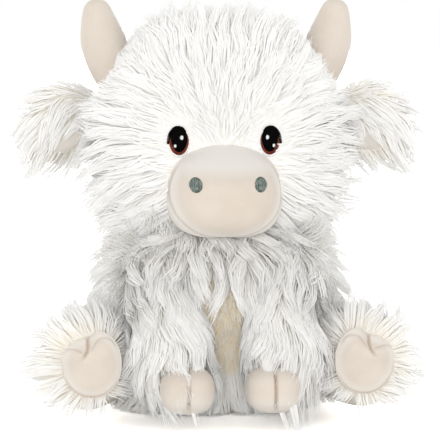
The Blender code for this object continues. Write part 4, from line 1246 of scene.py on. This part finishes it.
for name, side in sides.items():
    root = pivots[f"ear_{name}_flap"]
    rings = leaf_rings(root, side)
    first = root + Vector((-side * EAR_SINK, 0, 0))
    last = root + Vector((side * (EAR_REACH - EAR_SINK), 0, -EAR_DROP))
    ear = new_piece(skin_over(rings, first, last), f"ear_skin_{name}", neutral_shade_backing)
    stuffed(ear, f"ear_{name}", f"ear_{name}")
    ear_points, ear_normals = points_and_normals(ear)
    out_part = np.clip((ear_points[:, 0] - root.x) * side / EAR_REACH, 0, 1)
    above = (ear_points[:, 2] - root.z + EAR_DROP * out_part) / EAR_HALF_HEIGHT
    fan = np.stack([np.full(len(ear_points), side * 1.0), np.zeros(len(ear_points)), above * 0.85 - 0.25], axis=1)
    fan[:, 2] -= EAR_OVERHANG * soft_range(-ear_normals[:, 1], 0.4, 0.95)
    ear_nap = along_skin(fan, ear_normals)
    ear_lengths = EAR_ROOT_PILE + (EAR_PILE_LENGTH - EAR_ROOT_PILE) * out_part
    ear_lengths[ear_points[:, 0] * side < root.x * side - 0.002] = 0
    lining_middle = root + Vector((side * LINING_MIDDLE_OUT, 0, -LINING_MIDDLE_DOWN))
    lean = -side * LINING_LEAN
    from_lining = ear_points - np.array(lining_middle)
    along_lining = from_lining[:, 0] * math.cos(lean) + from_lining[:, 2] * math.sin(lean)
    across_lining = from_lining[:, 2] * math.cos(lean) - from_lining[:, 0] * math.sin(lean)
    lining_reach = np.hypot(along_lining / LINING_HALF_LENGTH, across_lining / LINING_HALF_HEIGHT)
    ear_lengths[(lining_reach < 0.9) & (ear_points[:, 1] < root.y)] = 0
    coat(ear, f"ear_pile_{name}", f"ear_{name}", ear_nap, ear_lengths, seed=41, root_stand=0.7,
         tip_rise=0.2, droop=0.5)

    lining_bm = stuffed_ball(
        Vector(), LINING_HALF_LENGTH, LINING_HALF_THICKNESS, LINING_HALF_HEIGHT, LINING_HALF_HEIGHT, 2.1, 40, 24
    )
    turn = Matrix.Rotation(-lean, 3, "Y")
    ear_tree = BVHTree.FromObject(ear, bpy.context.evaluated_depsgraph_get())
    for vert in lining_bm.verts:
        spot = turn @ vert.co + lining_middle
        place, _, _, _ = ear_tree.ray_cast(Vector((spot.x, -0.2, spot.z)), Vector((0, 1, 0)))
        ground = place.y if place is not None else root.y
        vert.co = Vector((spot.x, ground - 0.0004 + vert.co.y * 0.6, spot.z))
    lining_pale = lining_bm.verts.layers.float.new("pale_and_lit")
    for vert in lining_bm.verts:
        vert[lining_pale] = LINING_PALENESS
    lining = new_piece(lining_bm, f"ear_lining_velour_{name}", beige)
    stuffed(lining, f"ear_{name}", f"ear_lining_{name}")

# Front legs
# Two stuffed tubes of long pile, sewn in at the shoulders, that slope forward and down between the hind legs. The nap
# runs down them, and the locks at the ankle hang over the hooves.
FRONT_FOOT_SPREAD = 0.0270
FRONT_FOOT_REACH = 0.0440
FRONT_FOOT_HEIGHT = 0.0350
SHOULDER_HALF_WIDTH = 0.0190
SHOULDER_HALF_DEPTH = 0.0210
ANKLE_HALF_WIDTH = 0.0155
ANKLE_HALF_DEPTH = 0.0150
ANKLE_PAST_FOOT = 0.004
FRONT_PILE_LENGTH = 0.039
ANKLE_PILE_LENGTH = 0.037
INNER_SHORTENING = 0.5
OUTER_LENGTHENING = 0.35
LEG_SIDE = (0.003, 0.012)
UNDER_ANKLE_SHORTENING = 0.5
LEG_FAN = 0.8
INNER_FAN_SHARE = 0.3
OUTER_FAN_SHARE = 1.3
SHOULDER_FORWARD = 2.0
ANKLE_FORWARD = 0.90


def stuffed_limb(root, foot, root_half, foot_half, side_way, bluntness=3.2, around=40, spans=40):
    """A closed limb: its half sizes along side_way and across it change from root to foot, and both ends are round."""
    along = (foot - root).normalized()
    across = along.cross(side_way).normalized()
    sideways = across.cross(along)
    rings = []
    for span in range(1, spans):
        part = (1 - math.cos(math.pi * span / spans)) / 2
        roundness = (1 - abs(2 * part - 1) ** bluntness) ** (1 / bluntness)
        half_side = (root_half[0] + (foot_half[0] - root_half[0]) * part) * roundness
        half_across = (root_half[1] + (foot_half[1] - root_half[1]) * part) * roundness
        middle = root.lerp(foot, part)
        angles = [2 * math.pi * step / around for step in range(around)]
        rings.append([
            middle + sideways * (half_side * math.cos(angle)) + across * (half_across * math.sin(angle))
            for angle in angles
        ])
    return skin_over(rings, root, foot)


def buried(points, other, margin):
    """Which points lie under the skin of another piece by more than a margin."""
    deep = []
    for point in points:
        place, normal, _, _ = other.find_nearest(Vector(point))
        deep.append((Vector(point) - place).dot(normal) < -margin)
    return np.array(deep)


for name, side in sides.items():
    shoulder = pivots[f"front_leg_{name}_lift"]
    foot = Vector((side * FRONT_FOOT_SPREAD, shoulder.y - FRONT_FOOT_REACH, FRONT_FOOT_HEIGHT))
    along = (foot - shoulder).normalized()
    leg_bm = stuffed_limb(
        shoulder - along * SHOULDER_HALF_DEPTH, foot + along * ANKLE_PAST_FOOT,
        (SHOULDER_HALF_WIDTH, SHOULDER_HALF_DEPTH), (ANKLE_HALF_WIDTH, ANKLE_HALF_DEPTH), Vector((1, 0, 0)),
    )
    leg = new_piece(leg_bm, f"front_leg_skin_{name}", warm_shade_backing)
    stuffed(leg, f"front_leg_{name}", f"front_leg_{name}")
    leg_points, leg_normals = points_and_normals(leg)
    down_part = np.clip((leg_points - np.array(shoulder)) @ np.array(along) / (foot - shoulder).length, 0, 1)
    axis_x = shoulder.x + (foot.x - shoulder.x) * down_part
    down = np.array(along) + np.array([0, 0, -0.25])
    fanning = LEG_FAN * np.clip(2.5 * down_part, 0, 1) * (leg_points[:, 0] - axis_x) / SHOULDER_HALF_WIDTH
    fanning *= np.where(fanning * side < 0, INNER_FAN_SHARE + (1 - INNER_FAN_SHARE) * down_part ** 2, OUTER_FAN_SHARE)
    down = down + fanning[:, None] * np.array([1, 0, 0])
    over_hoof = soft_range(down_part, 0.55, 0.85) * soft_range(leg_normals[:, 2], -0.2, 0.4)
    down = down + over_hoof[:, None] * np.array([0, -ANKLE_FORWARD, ANKLE_FORWARD * 0.6])
    down = down + np.clip(1 - 3 * down_part, 0, 1)[:, None] * np.array([0, -SHOULDER_FORWARD, 0])
    leg_nap = along_skin(down, leg_normals)
    leg_lengths = FRONT_PILE_LENGTH + (ANKLE_PILE_LENGTH - FRONT_PILE_LENGTH) * down_part ** 1.5
    inner = soft_range((axis_x - leg_points[:, 0]) * side, *LEG_SIDE)
    outer = soft_range((leg_points[:, 0] - axis_x) * side, *LEG_SIDE)
    leg_lengths *= 1 - INNER_SHORTENING * inner * (1 - down_part)
    leg_lengths *= 1 + OUTER_LENGTHENING * outer * down_part
    under_ankle = soft_range(down_part, 0.6, 0.85) * soft_range(-leg_normals[:, 2], 0.1, 0.6)
    leg_lengths *= 1 - UNDER_ANKLE_SHORTENING * under_ankle
    hoof_low, hoof_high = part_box(f"front_hoof_{name}")
    in_hoof = np.all((leg_points > np.array(hoof_low)) & (leg_points < np.array(hoof_high)), axis=1)
    leg_lengths[in_hoof | buried(leg_points, torso_tree, 0.003)] = 0
    leg_lengths[(leg_normals @ np.array(along) > 0.6) & (down_part > 0.9)] = 0
    coat(leg, f"front_leg_pile_{name}", f"front_leg_{name}", leg_nap, leg_lengths, seed=51,
         root_stand=0.4, tip_rise=0.12, droop=0.2, wave=0.10, lock_spacing=0.0062,
         strands_per_square_metre=620000.0)

# Front hooves
# Velour toes at the ends of the front legs, stuffed firm, with a pinched seam up the middle that parts them in two.
HOOF_SQUARENESS = 2.5
HOOF_INSET = 0.0002
CLEFT_WIDTH = 0.0008
CLEFT_DEPTH = 0.0036
CLEFT_SHOULDER_WIDTH = 0.0046
CLEFT_SHOULDER_DEPTH = 0.0011
HOOF_TOE_SPLAY = 0.0008
HOOF_PALENESS = 0.7


def cleft_pull(across, width, depth, shoulder_width, shoulder_depth):
    """How far a pinched seam draws the fabric in, beside its sharp middle."""
    sharp = depth * math.exp(-(across / width) ** 2)
    return sharp + shoulder_depth * math.exp(-(across / shoulder_width) ** 2)


for name, side in sides.items():
    hoof_bm = ball_in_box(f"front_hoof_{name}", HOOF_SQUARENESS, HOOF_INSET, around=160, upward=96)
    low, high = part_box(f"front_hoof_{name}")
    middle = (low + high) / 2
    hoof_bm.normal_update()
    hoof_seam_and_shade = hoof_bm.verts.layers.float.new("seam_and_shade")
    hoof_pale = hoof_bm.verts.layers.float.new("pale_and_lit")
    moved = []
    for vert in hoof_bm.verts:
        offset = vert.co - middle
        ahead = smooth_step(-offset.y, 0.0, 0.012)
        pull = cleft_pull(offset.x, CLEFT_WIDTH, CLEFT_DEPTH, CLEFT_SHOULDER_WIDTH, CLEFT_SHOULDER_DEPTH) * ahead
        lower = smooth_step(offset.z, -0.0135, -0.010)
        # Darker along the cleft: painted shade in the pinched seam.
        vert[hoof_seam_and_shade] = 0.6 * math.exp(-(offset.x / CLEFT_WIDTH) ** 2) * ahead * lower
        vert[hoof_pale] = HOOF_PALENESS * smooth_step(-offset.z, -0.002, 0.010)
        spread = HOOF_TOE_SPLAY * ahead * math.copysign(1, offset.x) * (1 - math.exp(-(offset.x / 0.006) ** 2))
        moved.append(vert.co - vert.normal * pull * lower + Vector((spread, 0, 0)) * 0.5)
    for vert, place in zip(hoof_bm.verts, moved):
        vert.co = place
    hoof = new_piece(hoof_bm, f"front_hoof_velour_{name}", beige)
    stuffed(hoof, f"front_leg_{name}", f"front_hoof_{name}")

# Hind legs
# Short fat legs that lie on the floor and point forward and outward, with their soles towards the viewer. The nap runs
# outwards from the sole on all sides, and back along the leg.
HIND_FOOT_SPREAD = 0.0880
HIND_FOOT_REACH = 0.0735
HIND_LEG_HEIGHT = 0.0345
HIP_HALF_WIDTH = 0.0225
HIP_HALF_HEIGHT = 0.0255
HIND_FOOT_HALF_WIDTH = 0.0225
HIND_FOOT_HALF_HEIGHT = 0.0275
HIND_PILE_LENGTH = 0.031
SOLE_CLEAR = 0.82
SOLE_RIM_COMB = 0.55
DOWNWARD_COMB = 0.3
FOOT_FRINGE_SHORTENING = 0.4

soles = {}
for name, side in sides.items():
    hip = pivots[f"hind_leg_{name}_splay"]
    toe = Vector((side * HIND_FOOT_SPREAD, hip.y - HIND_FOOT_REACH - 0.010, HIND_LEG_HEIGHT + 0.001))
    along = (toe - hip).normalized()
    hind_bm = stuffed_limb(
        hip - along * HIP_HALF_WIDTH, toe, (HIP_HALF_WIDTH, HIP_HALF_HEIGHT),
        (HIND_FOOT_HALF_WIDTH, HIND_FOOT_HALF_HEIGHT), Vector((1, 0, 0)), bluntness=4.2,
    )
    set_down(hind_bm, SEAT_HEIGHT)
    hind = new_piece(hind_bm, f"hind_leg_skin_{name}", warm_shade_backing)
    stuffed(hind, f"hind_leg_{name}", f"hind_leg_{name}")
    low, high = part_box(f"hind_sole_{name}")
    sole_middle = (low + high) / 2
    sole_half = (high - low) / 2
    hind_points, hind_normals = points_and_normals(hind)
    from_sole = hind_points - np.array(sole_middle)
    from_sole[:, 1] = 0
    from_sole[:, 2] *= np.where(from_sole[:, 2] < 0, DOWNWARD_COMB, 1)
    radial = from_sole / np.maximum(np.linalg.norm(from_sole, axis=1, keepdims=True), 1e-4)
    rearward = soft_range(hind_points[:, 1], toe.y, toe.y + 0.045)
    backward = -np.array(along) * rearward[:, None] * 1.2
    hind_nap = along_skin(radial + backward, hind_normals)
    hind_lengths = np.full(len(hind_points), HIND_PILE_LENGTH)
    sole_reach = np.hypot(
        (hind_points[:, 0] - sole_middle.x) / sole_half.x, (hind_points[:, 2] - sole_middle.z) / sole_half.z
    )
    at_sole = hind_points[:, 1] < sole_middle.y + 0.012
    combed = np.where(at_sole, SOLE_RIM_COMB + (1 - SOLE_RIM_COMB) * soft_range(sole_reach, 0.9, 1.5), 1)
    hind_nap *= combed[:, None]
    below_sole = soft_range(sole_middle.z - hind_points[:, 2], 0.004, 0.018)
    hind_lengths *= 1 - FOOT_FRINGE_SHORTENING * below_sole
    hind_lengths[(sole_reach < SOLE_CLEAR) & at_sole] = 0
    hind_lengths[buried(hind_points, torso_tree, 0.003) | (hind_normals[:, 2] < UNDERSIDE_SLOPE)] = 0
    coat(hind, f"hind_leg_pile_{name}", f"hind_leg_{name}", hind_nap, hind_lengths, seed=61,
         root_stand=0.5, tip_rise=0.2, droop=0.35, wave=0.10, lock_spacing=0.0052,
         strands_per_square_metre=560000.0)
    soles[name] = (sole_middle, sole_half)

# Hind soles
# A domed velour pad sewn into the end of each hind leg, with two toes at the top parted by a pinched seam.
SOLE_SQUARENESS = 2.2
SOLE_TOES = {"inner": (-0.0068, 0.0085, 0.0090), "outer": (0.0108, 0.0060, 0.0072)}
SOLE_TOE_SWELL = 0.0038
SOLE_CLEFT_TOP = (0.0023, 0.0140)
SOLE_CLEFT_BEND = 26.0
SOLE_CLEFT_FOOT = 0.0035
SOLE_NOTCH_WIDTH = 0.0040
SOLE_NOTCH_DEPTH = 0.0040
SOLE_OUTER_DROP = 0.0035
TOE_FOLD_REACH = 0.80
TOE_FOLD_WIDTH = 0.0007
TOE_FOLD_DEPTH = 0.0007
SOLE_HIGHLIGHT_RIM = (0.70, 0.92)
SOLE_RIM_SEAM = 0.975
SOLE_RIM_SEAM_WIDTH = 0.02

for name, side in sides.items():
    sole_middle, sole_half = soles[name]
    sole_bm = ball_in_box(f"hind_sole_{name}", SOLE_SQUARENESS, HOOF_INSET, around=160, upward=96)
    sole_bm.normal_update()
    sole_seam_and_shade = sole_bm.verts.layers.float.new("seam_and_shade")
    sole_rim_highlight = sole_bm.verts.layers.float.new("pale_and_lit")
    moved = []
    for vert in sole_bm.verts:
        offset = vert.co - sole_middle
        facing = smooth_step(-vert.normal.y, 0.1, 0.6)
        outward = side * offset.x
        toes = sum(
            math.exp(-((outward - out) ** 2 + (offset.z - up) ** 2) / size ** 2) for out, up, size in SOLE_TOES.values()
        )
        under_top = max(SOLE_CLEFT_TOP[1] - offset.z, 0)
        across = outward - SOLE_CLEFT_TOP[0] - SOLE_CLEFT_BEND * under_top ** 2
        upper = smooth_step(offset.z, SOLE_CLEFT_FOOT - 0.003, SOLE_CLEFT_FOOT + 0.004)
        pull = cleft_pull(across, CLEFT_WIDTH, CLEFT_DEPTH, CLEFT_SHOULDER_WIDTH, CLEFT_SHOULDER_DEPTH) * upper
        reach = math.hypot(offset.x / sole_half.x, offset.z / sole_half.z)
        rim_seam_and_shade = math.exp(-((reach - SOLE_RIM_SEAM) / SOLE_RIM_SEAM_WIDTH) ** 2) * smooth_step(-offset.z, 0.006, 0.014)
        cleft_seam_and_shade = math.exp(-(across / CLEFT_WIDTH) ** 2) * upper * facing
        fold = 0.0
        for out, up, size in SOLE_TOES.values():
            off_fold = math.hypot(outward - out, offset.z - up) - TOE_FOLD_REACH * size
            on_top = smooth_step(offset.z - up, 0.0, 0.004)
            fold = max(fold, math.exp(-(off_fold / TOE_FOLD_WIDTH) ** 2) * on_top * facing)
        # Darker along the lower rim seam, the cleft and the toe folds: the seam lines, with painted shade in their
        # creases.
        vert[sole_seam_and_shade] = max(0.5 * cleft_seam_and_shade, 0.5 * rim_seam_and_shade, 0.35 * fold)
        # Paler towards the rim: painted highlight on the rolled rim.
        vert[sole_rim_highlight] = 0.8 * smooth_step(reach, *SOLE_HIGHLIGHT_RIM)
        at_top = smooth_step(offset.z, 0.004, 0.016)
        lowered = SOLE_NOTCH_DEPTH * math.exp(-((outward - SOLE_CLEFT_TOP[0]) / SOLE_NOTCH_WIDTH) ** 2)
        lowered += SOLE_OUTER_DROP * smooth_step(outward, SOLE_CLEFT_TOP[0], SOLE_CLEFT_TOP[0] + 0.006)
        forward = facing * (SOLE_TOE_SWELL * (toes - 0.6) - pull * 0.8) - TOE_FOLD_DEPTH * fold
        moved.append(vert.co - Vector((0, forward, lowered * at_top)))
    for vert, place in zip(sole_bm.verts, moved):
        vert.co = place
    sole = new_piece(sole_bm, f"hind_sole_velour_{name}", beige)
    stuffed(sole, f"hind_leg_{name}", f"hind_sole_{name}")

# Tail
# A thin tube of short-cut pile that lies behind the cow and ends in a tuft of long pile.
TAIL_HALF_WIDTH = 0.0042
TUFT_HALF_WIDTH = 0.0062
TAIL_PILE_LENGTH = 0.010
TUFT_PILE_LENGTH = 0.021

tail_root = pivots["tail_swing"]
tail_low, tail_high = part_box("tail")
tuft_low, tuft_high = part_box("tail_tuft")
tuft_start = Vector((0, tuft_low.y + 0.003, (tuft_low.z + tuft_high.z) / 2 + 0.002))
tuft_end = Vector((0, tuft_high.y - 0.007, (tuft_low.z + tuft_high.z) / 2 - 0.003))
tail_parts = {
    "tail": (tail_root, tuft_start, TAIL_HALF_WIDTH, TAIL_HALF_WIDTH, TAIL_PILE_LENGTH),
    "tail_tuft": (tuft_start - Vector((0, 0.002, 0)), tuft_end, TUFT_HALF_WIDTH, TAIL_HALF_WIDTH, TUFT_PILE_LENGTH),
}
for node, (start, end, root_half, end_half, length) in tail_parts.items():
    tail_bm = stuffed_limb(start, end, (root_half, root_half), (end_half, end_half), Vector((1, 0, 0)), around=28)
    tail = new_piece(tail_bm, f"{node}_skin", warm_shade_backing)
    stuffed(tail, "tail", node)
    tail_points, tail_normals = points_and_normals(tail)
    tail_nap = along_skin(np.tile(np.array((end - start).normalized()), (len(tail_points), 1)), tail_normals)
    tail_lengths = np.full(len(tail_points), length)
    tail_lengths[buried(tail_points, torso_tree, 0.001)] = 0
    coat(tail, f"{node}_pile", "tail", tail_nap, tail_lengths, seed=71, root_stand=0.3)
